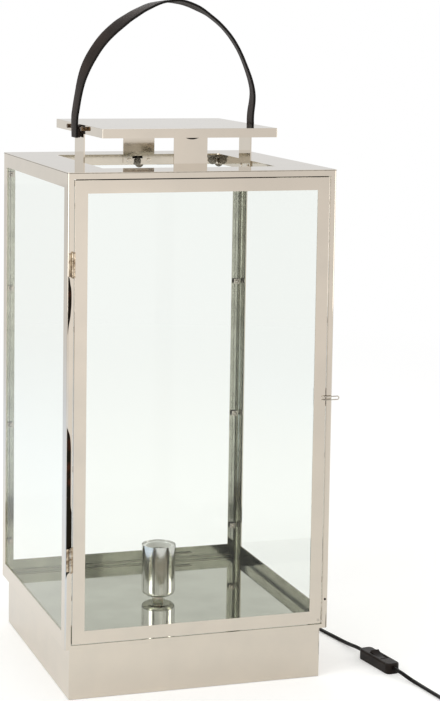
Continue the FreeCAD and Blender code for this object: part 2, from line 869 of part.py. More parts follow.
def hinge_post_leaf(level):
    z0, z1 = level - hinge_height / 2, level + hinge_height / 2
    edge = -half_x + post_front_flange
    leg = box(edge, edge + leaf_sheet, door_front, -inner_y + leaf_sheet, z0, z1)
    land = box(-inner_x + bend_inside, edge + leaf_sheet,
               -inner_y, -inner_y + leaf_sheet, z0, z1)
    low, _, high = hinge_sections(level)
    return leg.fuse([land, knuckle(*low, edge), knuckle(*high, edge)]).removeSplitter()


def hinge_door_leaf(level):
    z0, z1 = level - hinge_height / 2, level + hinge_height / 2
    edge = -door_half - leaf_sheet
    leg = box(edge, -door_half, door_front, door_front + door_depth - hinge_leaf_inset, z0, z1)
    for y, z in hinge_rivet_places():
        leg = leg.cut(rod((edge - 1, y, z), (-door_half + 1, y, z),
                          hinge_rivet_radius + hinge_pin_clearance))
    return leg.fuse(knuckle(*hinge_sections(level)[1], edge)).removeSplitter()


def hinge_pin(level):
    reach = hinge_height / 2 + hinge_pin_tail
    shaft = rod((hinge_x, hinge_y, level - reach), (hinge_x, hinge_y, level + reach),
                hinge_pin_radius)
    reach = hinge_height / 2 + hinge_pin_seat
    caps = [dome((hinge_x, hinge_y, level + reach), (0, 0, 1), *hinge_pin_head),
            dome((hinge_x, hinge_y, level - reach), (0, 0, -1), *hinge_pin_head)]
    return shaft.fuse(caps)


def door_hinge_rivets():
    rivets = []
    outside = -door_half - leaf_sheet
    inside = -door_half + door_sheet
    for y, z in hinge_rivet_places():
        rivets.append(rivet((outside, y, z), (inside, y, z), hinge_rivet_radius,
                            hinge_rivet_head, hinge_rivet_tail))
    return rivets


def pull_legs():
    half = pull_leg_spacing / 2
    return [(-1, pull_level - half), (1, pull_level + half)]


def door_pull():
    """A hairpin of wire: two legs over the door's edge, bent into the stile at their ends."""
    y = door_front - pull_stand_off
    x0, x1 = door_half - pull_inset, door_half + pull_reach
    half = pull_leg_spacing / 2
    bend = pull_bend
    inside = door_front + door_sheet
    edges = []
    low, high = pull_level - half, pull_level + half
    quarter = bend * (1 - math.sqrt(0.5))
    edges.append(Part.LineSegment(Vector(x0, inside, low), Vector(x0, y + bend, low)).toShape())
    edges.append(Part.Arc(Vector(x0, y + bend, low), Vector(x0 + quarter, y + quarter, low),
                          Vector(x0 + bend, y, low)).toShape())
    edges.append(Part.LineSegment(Vector(x0 + bend, y, low), Vector(x1 - half, y, low)).toShape())
    edges.append(Part.Arc(Vector(x1 - half, y, low), Vector(x1, y, pull_level),
                          Vector(x1 - half, y, high)).toShape())
    edges.append(Part.LineSegment(Vector(x1 - half, y, high), Vector(x0 + bend, y, high)).toShape())
    edges.append(Part.Arc(Vector(x0 + bend, y, high), Vector(x0 + quarter, y + quarter, high),
                          Vector(x0, y + bend, high)).toShape())
    edges.append(Part.LineSegment(Vector(x0, y + bend, high), Vector(x0, inside, high)).toShape())
    return pipe(Part.Wire(edges), pull_wire / 2)


# ---------------------------------------------------------------- magnet catch

def catch_levels():
    return pull_level - catch_height / 2, pull_level + catch_height / 2


def striker_plate():
    """A steel plate across the door's rear edge that the magnet holds."""
    z0, z1 = catch_levels()
    back = door_front + door_depth
    return box(door_half - striker_width, door_half, back, back + catch_sheet, z0, z1)


def magnet_front():
    return door_front + door_depth + catch_sheet + catch_gap


def magnet_x():
    return door_half - magnet_inset


def catch_magnet():
    y = magnet_front()
    return rod((magnet_x(), y, pull_level), (magnet_x(), y + magnet_thickness, pull_level),
               magnet_radius)


def magnet_bracket():
    z0, z1 = catch_levels()
    x = half_x - post_front_flange + bracket_gap
    back = magnet_front() + magnet_thickness
    root = box(x, inner_x - bend_inside, -inner_y, -inner_y + catch_sheet, z0, z1)
    arm = box(x, x + catch_sheet, -inner_y, back + catch_sheet, z0, z1)
    seat = box(magnet_x() - magnet_radius, x + catch_sheet, back, back + catch_sheet, z0, z1)
    return root.fuse([arm, seat]).removeSplitter()


# ---------------------------------------------------------------- lampholder

def lampholder_cup():
    solid = Part.makeCylinder(cup_radius, cup_top - cup_bottom, Vector(0, 0, cup_bottom))
    solid = solid.makeFillet(cup_corner, edges_at_height(solid, cup_bottom))
    hollow = Part.makeCylinder(cup_radius - cup_wall, cup_top - cup_bottom,
                               Vector(0, 0, cup_bottom + cup_wall))
    hollow = hollow.makeFillet(cup_corner - cup_wall,
                               edges_at_height(hollow, cup_bottom + cup_wall))
    hole = rod((0, 0, cup_bottom - 1), (0, 0, cup_bottom + 2), nipple_radius + 0.15)
    return solid.cut([hollow, hole])


def insert_top():
    return cup_top - insert_drop


def holder_insert():
    radius = cup_radius - cup_wall - insert_clearance
    top = insert_top()
    body = Part.makeCylinder(radius, insert_height, Vector(0, 0, top - insert_height))
    body = body.makeFillet(insert_edge, edges_at_height(body, top))
    bore = shell_bore / 2 + thread_depth + shell_wall + insert_bore_gap
    pocket = rod((0, 0, top - insert_height + insert_floor), (0, 0, top + 1), bore)
    wires = [rod((x, 0, top - insert_height - 1), (x, 0, top), wire_hole_radius)
             for x in (-wire_hole_place, wire_hole_place)]
    return body.cut([pocket] + wires)


def screw_shell():
    """The threaded shell: a narrow foot, a clear bore and rings for its rolled thread."""
    bore, wall = shell_bore / 2, shell_bore / 2 + shell_wall
    base = insert_top() - insert_height + insert_floor
    step = base + shell_foot
    outer = []
    z = step + shell_wall + shell_lip
    for _ in range(thread_turns):
        outer += [(wall, z), (wall + thread_depth, z + thread_pitch / 2)]
        z += thread_pitch
    outer.append((wall, z))
    foot = bore - shell_foot_step
    inside = [(wall, step - shell_wall), (foot + shell_wall, step - shell_wall),
              (foot + shell_wall, base), (shell_hole, base), (shell_hole, base + shell_wall),
              (foot, base + shell_wall), (foot, step), (bore, step)]
    top = [(bore, z + shell_lip), (wall, z + shell_lip)]
    return revolve(inside + top + outer[::-1])


def centre_contact():
    """A springy brass tongue under the lamp's foot."""
    base = insert_top() - insert_height + insert_floor
    top = base + contact_height
    x, y = -contact_back, contact_width / 2
    foot = box(x, contact_foot, -y, y, base, base + contact_sheet)
    rise = box(x, x + contact_sheet, -y, y, base, top)
    tongue = box(x, contact_tongue, -y, y, top - contact_sheet, top)
    return foot.fuse([rise, tongue]).removeSplitter()


def holder_nipple():
    tube = rod((0, 0, nipple_bottom), (0, 0, nipple_top), nipple_radius)
    bore = rod((0, 0, nipple_bottom - 1), (0, 0, nipple_top + 1), nipple_bore)
    return tube.cut(bore)


def holder_collars():
    bore = nipple_radius + 0.1
    middle = floor_top + collar_height
    washer = rod((0, 0, floor_top), (0, 0, middle), collar_radius)
    spacer = rod((0, 0, middle), (0, 0, cup_bottom), spacer_radius)
    hole = rod((0, 0, floor_top - 1), (0, 0, cup_bottom + 1), bore)
    return [washer.cut(hole), spacer.cut(hole)]


def hex_nut(z0, z1):
    reach = nut_across / math.sqrt(3)
    points = []
    for i in range(6):
        angle = math.radians(60 * i)
        points.append((reach * math.cos(angle), reach * math.sin(angle)))
    hole = rod((0, 0, z0 - 1), (0, 0, z1 + 1), nipple_radius + 0.02)
    return prism(points, z0, z1).cut(hole)


def holder_nuts():
    inside = cup_bottom + cup_wall
    return [hex_nut(plinth_height - nut_height, plinth_height),
            hex_nut(inside, inside + nut_height)]


# ---------------------------------------------------------------- cord, switch and plug

def gland_inner():
    return plinth_y - plinth_sheet - 1.5


def cord_gland():
    """The strain relief, moulded onto the cord and snapped into the plinth's back wall."""
    x, z = gland_place, gland_height
    wall = plinth_y
    pieces = [
        rod((x, gland_inner(), z), (x, plinth_y - plinth_sheet, z), gland_neck_radius + 1.2),
        rod((x, wall - plinth_sheet, z), (x, wall, z), gland_neck_radius),
        rod((x, wall, z), (x, wall + 2.0, z), gland_flange_radius),
        cone((x, wall + 2.0, z), (x, wall + 2.0 + gland_tail, z), gland_neck_radius - 0.2,
             cord_diameter / 2 + 0.7),
    ]
    return pieces[0].fuse(pieces[1:])


def inner_route():
    top = insert_top() - insert_height
    return ((gland_place, gland_inner(), gland_height), (gland_place, 104.0, gland_height),
            (74.0, 62.0, 12.5), (42.0, 28.0, 13.0), (0.0, 0.0, 14.0), (0.0, 0.0, top))


def placed_switch(shape):
    """Moves a shape from the switch's own frame, long side along X, to its place."""
    shape = shape.copy()
    shape.rotate(Vector(0, 0, 0), Vector(0, 0, 1), math.degrees(switch_turn) - 90)
    shape.translate(Vector(switch_place[0], switch_place[1], 0))
    return shape


def switch_block(inset, z0, z1):
    x, y = switch_length / 2 - inset, switch_width / 2 - inset
    block = box(-x, x, -y, y, z0, z1)
    corners = [(sx * x, sy * y) for sx in (-1, 1) for sy in (-1, 1)]
    return block.makeFillet(switch_end_radius - inset, upright_edges(block, corners))


def switch_base():
    base = switch_block(0, 0, switch_split)
    base = base.makeFillet(0.8, edges_at_height(base, 0))
    pocket = switch_block(switch_wall, switch_wall, switch_split + 1)
    cuts = []
    for x in (-switch_screw_place, switch_screw_place):
        pocket = pocket.cut(rod((x, 0, 0), (x, 0, switch_split + 1), 3.0))
        cuts.append(rod((x, 0, -1), (x, 0, switch_split + 1), switch_screw_radius + 0.1))
        cuts.append(rod((x, 0, -1), (x, 0, 2.0), 2.4))
    return base.cut([pocket] + cuts)


def switch_cover():
    cover = switch_block(0, switch_split, switch_height)
    cover = cover.makeFillet(2.2, edges_at_height(cover, switch_height))
    half = rocker_radius + rocker_gap
    y = rocker_width / 2 + rocker_gap
    well = box(-half, half, -y, y, switch_split - 1, switch_height + 1)
    end = switch_length / 2 - switch_wall
    ends = [box(x0, x1, -y, y, switch_split - 1, switch_height - 2.0)
            for x0, x1 in ((-end + 1, -switch_screw_place - 3), (switch_screw_place + 3, end - 1))]
    reach = rocker_width / 2 + rocker_pin_length + 0.2
    pins = rod((0, -reach, rocker_pivot), (0, reach, rocker_pivot),
               rocker_pin_radius + rocker_pin_clearance)
    screws = [rod((x, 0, switch_split - 1), (x, 0, switch_height - 3), switch_screw_radius + 0.05)
              for x in (-switch_screw_place, switch_screw_place)]
    return cover.cut([well, pins] + ends + screws)


def switch_rocker():
    half = rocker_width / 2
    body = rod((0, -half, rocker_pivot), (0, half, rocker_pivot), rocker_radius)
    horn = math.radians(rocker_horn)
    reach_x, reach_z = rocker_radius * math.cos(horn), rocker_radius * math.sin(horn)
    dish_z = rocker_pivot + reach_z + math.sqrt(rocker_dish ** 2 - reach_x ** 2)
    dish = rod((0, -half - 1, dish_z), (0, half + 1, dish_z), rocker_dish)
    above = box(-20, 20, -half - 1, half + 1, rocker_pivot + reach_z, rocker_pivot + 20)
    below = box(-20, 20, -half - 1, half + 1, rocker_pivot - 20, rocker_pivot - 3.0)
    body = body.cut([dish, above, below])
    reach = half + rocker_pin_length
    pins = rod((0, -reach, rocker_pivot), (0, reach, rocker_pivot), rocker_pin_radius)
    body = body.fuse(pins).removeSplitter()
    body.rotate(Vector(0, 0, rocker_pivot), Vector(0, 1, 0), rocker_tilt)
    return body


def switch_screws():
    screws = []
    for x in (-switch_screw_place, switch_screw_place):
        head = rod((x, 0, 0.6), (x, 0, 2.0), 2.2)
        shank = rod((x, 0, 2.0), (x, 0, switch_height - 3.5), switch_screw_radius)
        slot = box(x - 3, x + 3, -0.35, 0.35, 0, 1.1)
        screws.append(head.fuse(shank).cut(slot))
    return screws


def coil_wire():
    """The coil's centreline: a layer in, a climb at the inside, and a layer out."""
    entry = Vector(*front_route[-1])
    centre = Vector(entry.x + coil_start_radius, entry.y - coil_straight, 0)
    start = Vector(entry.x, centre.y, entry.z)
    edges = [Part.LineSegment(entry, start).toShape()]
    side, radius, height, at = -1, coil_start_radius, entry.z, start
    for half_turn in range(2 * coil_half_turns + 1):
        tuck = coil_tuck if abs(half_turn - coil_half_turns) == 1 else 0.0
        if half_turn == coil_half_turns:
            height += coil_layer
        elif half_turn < coil_half_turns:
            radius -= coil_step / 2 + tuck
        else:
            radius += coil_step / 2 + tuck
        end = Vector(centre.x - side * radius, centre.y, height)
        across = end - at
        middle = (at + end) * 0.5 + Vector(0, side, 0) * (across.Length / 2)
        edges.append(tangent_arc(at, Vector(0, side, 0), middle))
        across.normalize()
        edges.append(tangent_arc(middle, across, end))
        side, at = -side, end
    last = at + Vector(0, coil_straight, 0)
    edges.append(Part.LineSegment(at, last).toShape())
    return Part.Wire(edges), last


def least_gap(wire):
    """The least gap of the coil's tube to itself, measured on points of its centreline."""
    step = 2.0
    points = wire.discretize(int(wire.Length / step))
    skip = int(2.5 * cord_diameter / step) + 1
    nearest = min((points[i] - points[j]).Length
                  for i in range(len(points)) for j in range(i + skip, len(points)))
    return nearest - cord_diameter


def cord_coil():
    wire, _ = coil_wire()
    solid = pipe(wire, cord_diameter / 2)
    expected = math.pi * cord_diameter ** 2 / 4 * wire.Length
    print(f"cord_coil: length {wire.Length:.1f}, least gap {least_gap(wire):.2f},",
          f"volume {solid.Volume / expected:.4f} of section x length")
    return solid


def plug_frame():
    """The plug's rear end and the middle height of its body."""
    _, last = coil_wire()
    return last, plug_thickness / 2 + 0.2


def plug_body():
    rear, middle = plug_frame()
    y0 = rear.y + plug_relief
    y1 = y0 + plug_length
    w0, w1 = plug_rear_width / 2, plug_width / 2
    outline = [(-w0, y0), (w0, y0), (w1, y0 + 16), (w1, y1), (-w1, y1), (-w1, y0 + 16)]
    block = prism([(rear.x + x, y) for x, y in outline],
                  middle - plug_thickness / 2, middle + plug_thickness / 2)
    places = [(rear.x + x, y) for x, y in outline]
    block = block.makeFillet(3.0, upright_edges(block, places))
    relief = cone((rear.x, rear.y, rear.z), (rear.x, y0 + 3, rear.z),
                  cord_diameter / 2 + 0.7, 5.0)
    return block.fuse(relief).removeSplitter()


def plug_pins():
    rear, middle = plug_frame()
    y0 = rear.y + plug_relief + plug_length
    pins = []
    for x_sign in (-1, 1):
        x = rear.x + x_sign * plug_pin_spacing / 2
        shaft = rod((x, y0, middle), (x, y0 + plug_pin_length - 1.2, middle), plug_pin_radius)
        tip = cone((x, y0 + plug_pin_length - 1.2, middle), (x, y0 + plug_pin_length, middle),
                   plug_pin_radius, plug_pin_radius - 0.8)
        pins.append(shaft.fuse(tip))
    return pins


# ---------------------------------------------------------------- build

def build():
    os.makedirs("parts", exist_ok=True)
    save("base_felt", base_felt())
    save("bottom_cover", bottom_cover())
    save("cover_screws", *cover_screws())
    save("plinth_skirt", plinth_skirt())
    save("floor_plate", floor_plate())

    front_post, back_post = post(True), post(False)
    save("post_front_left", front_post)
    save("post_front_right", mirrored(front_post, -1, 1))
    save("post_back_left", back_post)
    save("post_back_right", mirrored(back_post, -1, 1))
    rails = (("bottom_rail", plinth_height, plinth_height + bottom_rail_height),
             ("top_rail", rim_under - top_rail_height, rim_under))
    for name, z0, z1 in rails:
        save(f"{name}_left", side_rail(z0, z1))
        save(f"{name}_right", mirrored(side_rail(z0, z1), -1, 1))
        save(f"{name}_back", back_rail(z0, z1))
    save("front_sill", front_sill())
    save("front_fascia", front_fascia())
    save("rim_plate", rim_plate())

    save("pane_left", side_pane())
    save("pane_right", mirrored(side_pane(), -1, 1))
    save("pane_back", back_pane())
    save("pane_clips", *pane_clips())
    save("rail_clips", *[rail_clip(place) for place in rail_clip_places])

    save("door_frame", door_frame())
    save("door_glass", door_glass())
    save("door_glass_clips", *door_glass_clips())
    save("hinge_post_leaves", *[hinge_post_leaf(level) for level in hinge_levels])
    save("hinge_door_leaves", *[hinge_door_leaf(level) for level in hinge_levels])
    save("hinge_pins", *[hinge_pin(level) for level in hinge_levels])
    save("door_hinge_rivets", *door_hinge_rivets())
    save("door_pull", door_pull())
    save("striker_plate", striker_plate())
    save("magnet_catch", magnet_bracket(), catch_magnet())

    for turn, side in enumerate(("front", "right", "back", "left")):
        save(f"upright_{side}", turned(front_upright(), 90 * turn))
    save("upright_rivets", *upright_rivets())
    save("roof_plate", roof_plate())
    save("strap_mounts", *strap_posts(), *strap_bars())
    save("leather_strap", leather_strap())
    save("strap_tabs", *strap_tabs())

    save("lampholder_cup", lampholder_cup())
    save("holder_insert", holder_insert())
    save("screw_shell", screw_shell())
    save("centre_contact", centre_contact())
    save("holder_nipple", holder_nipple())
    save("holder_collars", *holder_collars())
    save("holder_nuts", *holder_nuts())

    save("cord_gland", cord_gland())
    save("inner_cable", cord_tube("inner_cable", inner_route()))
    save("cord_back", cord_tube("cord_back", back_route))
    save("switch_base", placed_switch(switch_base()))
    save("switch_cover", placed_switch(switch_cover()))
    save("switch_rocker", placed_switch(switch_rocker()))
    save("switch_screws", *[placed_switch(s) for s in switch_screws()])
    save("cord_front", cord_tube("cord_front", front_route))
    save("cord_coil", cord_coil())
    save("plug_body", plug_body())
    save("plug_pins", *plug_pins())


build()
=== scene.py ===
import math

import bmesh
import bpy
from mathutils import Matrix, Vector, noise


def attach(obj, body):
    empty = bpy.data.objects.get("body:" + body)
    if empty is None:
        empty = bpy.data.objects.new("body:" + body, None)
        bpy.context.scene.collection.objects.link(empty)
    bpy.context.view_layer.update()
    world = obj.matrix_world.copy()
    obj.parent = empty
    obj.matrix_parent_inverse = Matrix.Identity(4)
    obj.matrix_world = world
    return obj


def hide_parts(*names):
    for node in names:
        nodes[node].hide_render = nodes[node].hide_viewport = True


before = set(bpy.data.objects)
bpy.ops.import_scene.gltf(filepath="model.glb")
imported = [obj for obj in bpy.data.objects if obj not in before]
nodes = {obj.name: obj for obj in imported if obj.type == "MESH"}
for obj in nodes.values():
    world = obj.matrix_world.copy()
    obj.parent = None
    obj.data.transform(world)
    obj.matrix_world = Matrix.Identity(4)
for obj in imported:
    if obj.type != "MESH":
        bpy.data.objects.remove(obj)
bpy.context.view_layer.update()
print("frame loaded:", len(nodes), "nodes")

mm = 0.001


# colours are sRGB hex, as picked in a paint program
def hexColour(text):
    values = [int(text[i:i + 2], 16) / 255 for i in (1, 3, 5)]
    linear = [v / 12.92 if v <= 0.04045 else ((v + 0.055) / 1.055) ** 2.4 for v in values]
    return (*linear, 1)


# sets a node's inputs, by name or number, or links them to a socket or to another node's output
def setInputs(node, values):
    for key, value in values.items():
        if isinstance(value, bpy.types.Node):
            value = next(output for output in value.outputs if output.enabled)
        if isinstance(value, bpy.types.NodeSocket):
            node.id_data.links.new(value, node.inputs[key])
        else:
            node.inputs[key].default_value = value


# adds a node; settings are its properties, values go to its inputs
def addNode(tree, kind, settings=None, values=None):
    node = tree.nodes.new(kind)
    for key, value in (settings or {}).items():
        setattr(node, key, value)
    setInputs(node, values or {})
    return node


def newMaterial(name, shaderValues):
    material = bpy.data.materials.new(name)
    material.use_nodes = True
    tree = material.node_tree
    shader = tree.nodes["Principled BSDF"]
    setInputs(shader, shaderValues)
    place = addNode(tree, "ShaderNodeTexCoord").outputs["Object"]
    return material, tree, shader, place


# a layer of blotches, each as wide as the grain, in metres; the layer's span of the noise is
# stretched over the two ends
def blotches(tree, place, layer, ends=(0.0, 1.0)):
    spots = addNode(tree, "ShaderNodeTexNoise", {}, {
        "Vector": place, "Scale": 1 / layer["grain"], "Detail": layer.get("detail", 3.0)})
    low, high = layer.get("span", (0.0, 1.0))
    return addNode(tree, "ShaderNodeMapRange", {}, {
        "Value": spots, "From Min": low, "From Max": high, "To Min": ends[0], "To Max": ends[1]})


# each fade is a value and its two limits: the mask is 0 where a value hasn't reached its first
# limit, and 1 where all have passed their second
def maskOf(tree, *fades):
    mask = 1.0
    for value, none, full in fades:
        fade = addNode(tree, "ShaderNodeMapRange", {}, {
            "Value": value, "From Min": none, "From Max": full})
        mask = addNode(tree, "ShaderNodeMath", {"operation": "MULTIPLY"}, {0: mask, 1: fade})
    return mask


# a colour with others painted over it, each as far as its mask says
def painted(tree, colour, *coats):
    for mask, coat in coats:
        colour = addNode(tree, "ShaderNodeMix", {"data_type": "RGBA"},
                         {"Factor": mask, 6: colour, 7: coat})
    return colour


# A finish with two colours, a roughness and a relief, each spread by blotches. What roughness
# and relief don't name is as in the colour's layer.
def layeredMaterial(name, shaderValues, colour, roughness=None, relief=None, drawn=None):
    material, tree, shader, place = newMaterial(name, shaderValues)
    if drawn:
        place = addNode(tree, "ShaderNodeMapping", {}, {"Vector": place, "Scale": drawn})
    first, second = [hexColour(end) for end in colour["ends"]]
    setInputs(shader, {"Base Color": painted(tree, first,
                                             (blotches(tree, place, colour), second))})
    if roughness:
        layer = {**colour, "span": (0.3, 0.7), **roughness}
        setInputs(shader, {"Roughness": blotches(tree, place, layer, layer["ends"])})
    if relief:
        layer = {**colour, "span": (0.0, 1.0), "strength": 1.0, **relief}
        setInputs(shader, {"Normal": addNode(tree, "ShaderNodeBump", {}, {
            "Height": blotches(tree, place, layer), "Distance": layer["height"],
            "Strength": layer["strength"]})})
    return material


# ---- metals

nickel = "#d5ccbf"

# Nickel plate on folded steel sheet, polished: a warm mirror with faint smears from wiping, and
# the slow waves that thin sheet keeps after folding.
sheet = layeredMaterial(
    "polished nickel plated sheet", {"Metallic": 1.0},
    colour={"grain": 35 * mm, "detail": 4.0, "span": (0.35, 0.75), "ends": (nickel, "#cfc7bb")},
    roughness={"span": (0.3, 0.8), "ends": (0.04, 0.08)},
    relief={"grain": 90 * mm, "detail": 1.0, "height": 0.05 * mm})

# The front left post is bowed between its hinges, and along its outer edge it mirrors the dark
# side of the room; that reflection is painted into its colour, dark and brown. The curve gives how
# far in from the edge that goes, for each height.
paintedReflection = {
    "from": 120 * mm,
    "to": 470 * mm,
    "edge": -149.3 * mm,
    "reach": 7 * mm,
    "outline": [(0.0, 0.0), (0.028, 0.0), (0.062, 0.55), (0.066, 0.95), (0.23, 0.93),
                (0.275, 0.68), (0.44, 0.66), (0.5, 0.2), (0.52, 0.0), (0.76, 0.0), (0.8, 0.1),
                (0.86, 0.5), (0.9, 0.58), (0.94, 0.4), (0.962, 0.22), (0.966, 0.0), (1.0, 0.0)],
    "softness": 0.04,
    "frontFace": (-149.2 * mm, -149.4 * mm),  # where the front flange's skin starts
    "dark": "#1e1a13",
    "brown": "#4a2a1e",
    "brownLayer": {"grain": 14 * mm, "span": (0.55, 0.75)},
}


def sheetWithPaintedReflection():
    material = sheet.copy()
    material.name = "polished nickel plated sheet, painted reflection"
    tree = material.node_tree
    shader = tree.nodes["Principled BSDF"]
    place = addNode(tree, "ShaderNodeTexCoord").outputs["Object"]
    axes = addNode(tree, "ShaderNodeSeparateXYZ", {}, {0: place}).outputs
    width = addNode(tree, "ShaderNodeFloatCurve", {}, {
        "Value": maskOf(tree, (axes["Z"], paintedReflection["from"], paintedReflection["to"]))})
    points = width.mapping.curves[0].points
    for x, y in paintedReflection["outline"][1:-1]:
        points.new(x, y)
    points[0].location, points[-1].location = paintedReflection["outline"][0], paintedReflection["outline"][-1]
    for point in points:
        point.handle_type = "AUTO_CLAMPED"
    width.mapping.update()
    inward = maskOf(tree, (axes["X"], paintedReflection["edge"], paintedReflection["edge"] + paintedReflection["reach"]))
    inside = addNode(tree, "ShaderNodeMath", {"operation": "SUBTRACT"}, {0: width, 1: inward})
    onPaintedReflection = maskOf(tree, (inside, 0.0, paintedReflection["softness"]),
                      (axes["Y"], *paintedReflection["frontFace"]))
    # the painted reflection: dark, with brown blotches
    dark = painted(tree, hexColour(paintedReflection["dark"]),
                   (blotches(tree, place, paintedReflection["brownLayer"]), hexColour(paintedReflection["brown"])))
    plain = shader.inputs["Base Color"].links[0].from_socket
    setInputs(shader, {"Base Color": painted(tree, plain, (onPaintedReflection, dark))})
    return material


dullAndShadedInside = {
    "pale": "#bebdb1",
    "grey": "#a9a89c",
    "band": "#94948a",
    "bandShare": 0.2,
    "drawn": (1, 1, 12),
    "bandLayer": {"grain": 70 * mm, "span": (0.5, 0.7)},
    "greyLayer": {"grain": 18 * mm, "detail": 4.0, "span": (0.35, 0.7)},
    "roughLayer": {"grain": 18 * mm, "detail": 4.0, "span": (0.3, 0.8)},
    "roughness": (0.08, 0.18),
    "buffing": 0.55,  # how much smoother the outer faces are
    "outerSkin": (149.0 * mm, 149.4 * mm),
}


# Inside the lantern the same plate was never buffed after welding, so it is a little dull, and it
# is painted greyer with darker bands: painted shade of the closed case. The outer faces of the
# same rails and posts are polished like the rest.
def insideShadedSheet():
    material, tree, shader, place = newMaterial("nickel plated sheet, buffed outside, painted shade inside",
                                                {"Metallic": 1.0})
    drawn = addNode(tree, "ShaderNodeMapping", {}, {"Vector": place, "Scale": dullAndShadedInside["drawn"]})
    axes = addNode(tree, "ShaderNodeSeparateXYZ", {}, {0: place}).outputs
    sides = [addNode(tree, "ShaderNodeMath", {"operation": "ABSOLUTE"}, {0: axes[axis]})
             for axis in "XY"]
    reach = addNode(tree, "ShaderNodeMath", {"operation": "MAXIMUM"}, dict(enumerate(sides)))
    outside = maskOf(tree, (reach, *dullAndShadedInside["outerSkin"]))
    bands = blotches(tree, drawn, dullAndShadedInside["bandLayer"], (0.0, dullAndShadedInside["bandShare"]))
    dull = blotches(tree, place, dullAndShadedInside["roughLayer"], dullAndShadedInside["roughness"])
    buffed = addNode(tree, "ShaderNodeMath", {"operation": "MULTIPLY_ADD"},
                     {0: outside, 1: -dullAndShadedInside["buffing"], 2: 1.0})
    # painted shade inside: greyer, with darker bands; the outer faces keep the nickel's colour
    setInputs(shader, {
        "Base Color": painted(
            tree, hexColour(dullAndShadedInside["pale"]),
            (blotches(tree, place, dullAndShadedInside["greyLayer"]), hexColour(dullAndShadedInside["grey"])),
            (bands, hexColour(dullAndShadedInside["band"])), (outside, hexColour(nickel))),
        "Roughness": addNode(tree, "ShaderNodeMath", {"operation": "MULTIPLY"},
                             {0: dull, 1: buffed})})
    return material


# the front left post's sheet with its painted reflection, and the inside sheet with painted shade
postSheetWithPaintedReflection = sheetWithPaintedReflection()
innerSheet = insideShadedSheet()

# The same plate on small pressed parts, which are tumbled rather than buffed: a little softer.
small = layeredMaterial(
    "tumbled nickel plate", {"Metallic": 1.0},
    colour={"grain": 1.5 * mm, "ends": ("#cdc8bf", "#aaa295")},
    roughness={"ends": (0.12, 0.24)},
    relief={"height": 0.01 * mm})

# Small butt hinges of rolled strip: nickel with browner blotches, which are painted reflection.
hingeMetal = layeredMaterial(
    "nickel plated strip, painted reflection", {"Metallic": 1.0},
    colour={"grain": 4 * mm, "detail": 4.0, "span": (0.4, 0.65), "ends": ("#c3b5a0", "#7e6c57")},
    roughness={"ends": (0.15, 0.3)})

# Stainless floor sheet, mirror finish: the reflection is a little soft and greener.
floorMetal = layeredMaterial(
    "mirror finished stainless sheet", {"Metallic": 1.0},
    colour={"grain": 60 * mm, "span": (0.35, 0.7), "ends": ("#c9c9bc", "#bdbdb0")},
    roughness={"span": (0.3, 0.75), "ends": (0.03, 0.09)})

# Spun aluminium cup, bright dipped: fine turning lines run round it.
cupMetal = layeredMaterial(
    "spun bright aluminium", {"Metallic": 1.0}, drawn=(1, 1, 60),
    colour={"grain": 24 * mm, "detail": 2.0, "ends": ("#dedddb", "#cfcecb")},
    roughness={"ends": (0.08, 0.14)})

# Brass, tarnished: brown in the hollows, yellow where fingers rub it.
brass = layeredMaterial(
    "aged brass", {"Metallic": 1.0},
    colour={"grain": 3 * mm, "detail": 4.0, "span": (0.35, 0.65), "ends": ("#78624a", "#332a20")},
    roughness={"ends": (0.25, 0.45)})

# Thin steel tabs with round ends, left unpolished: mottled brown and grey.
tabMetal = layeredMaterial(
    "unpolished spring steel", {"Metallic": 0.9},
    colour={"grain": 3.5 * mm, "detail": 4.0, "span": (0.4, 0.62),
            "ends": ("#6b665c", "#948e82")},
    roughness={"ends": (0.3, 0.5)})

# Rolled screw shell of nickelled brass.
shellMetal = layeredMaterial(
    "nickelled brass shell", {"Metallic": 0.6},
    colour={"grain": 6 * mm, "ends": ("#e6e4dc", "#c9c6bb")},
    roughness={"ends": (0.2, 0.35)})

# ---- glass, ceramic, plastics, felt and leather

clear = {"tint": "#fcfdfc", "surfaces": 0.5, "ior": 1.52}


# Float glass, 3 mm: nearly clear, a cool tint, and a mirror at a low angle. Light passes straight
# through, because a thin flat pane hardly moves what is behind it.
def floatGlass():
    material = bpy.data.materials.new("clear float glass")
    material.use_nodes = True
    tree = material.node_tree
    tree.nodes.clear()
    through = addNode(tree, "ShaderNodeBsdfTransparent", {}, {"Color": hexColour(clear["tint"])})
    mirror = addNode(tree, "ShaderNodeBsdfGlossy", {}, {"Color": (1, 1, 1, 1), "Roughness": 0.0})
    facing = addNode(tree, "ShaderNodeFresnel", {}, {"IOR": clear["ior"]})
    backs = addNode(tree, "ShaderNodeNewGeometry").outputs["Backfacing"]
    # only the faces on the viewer's side mirror
    share = addNode(tree, "ShaderNodeMath", {"operation": "MULTIPLY"},
                    {0: facing, 1: maskOf(tree, (backs, 1.0, 0.0))})
    share = addNode(tree, "ShaderNodeMath", {"operation": "MULTIPLY"},
                    {0: share, 1: clear["surfaces"]})
    mix = addNode(tree, "ShaderNodeMixShader", {}, {"Fac": share, 1: through, 2: mirror})
    addNode(tree, "ShaderNodeOutputMaterial", {}, {"Surface": mix})
    return material


glass = floatGlass()

# Glazed porcelain insert: pale grey, with a few darker specks under the glaze.
porcelain = layeredMaterial(
    "glazed porcelain", {"IOR": 1.54, "Coat Weight": 0.4, "Coat Roughness": 0.08},
    colour={"grain": 1.2 * mm, "detail": 4.0, "span": (0.62, 0.7),
            "ends": ("#f0f0ea", "#cfcfc6")},
    roughness={"ends": (0.25, 0.35)})

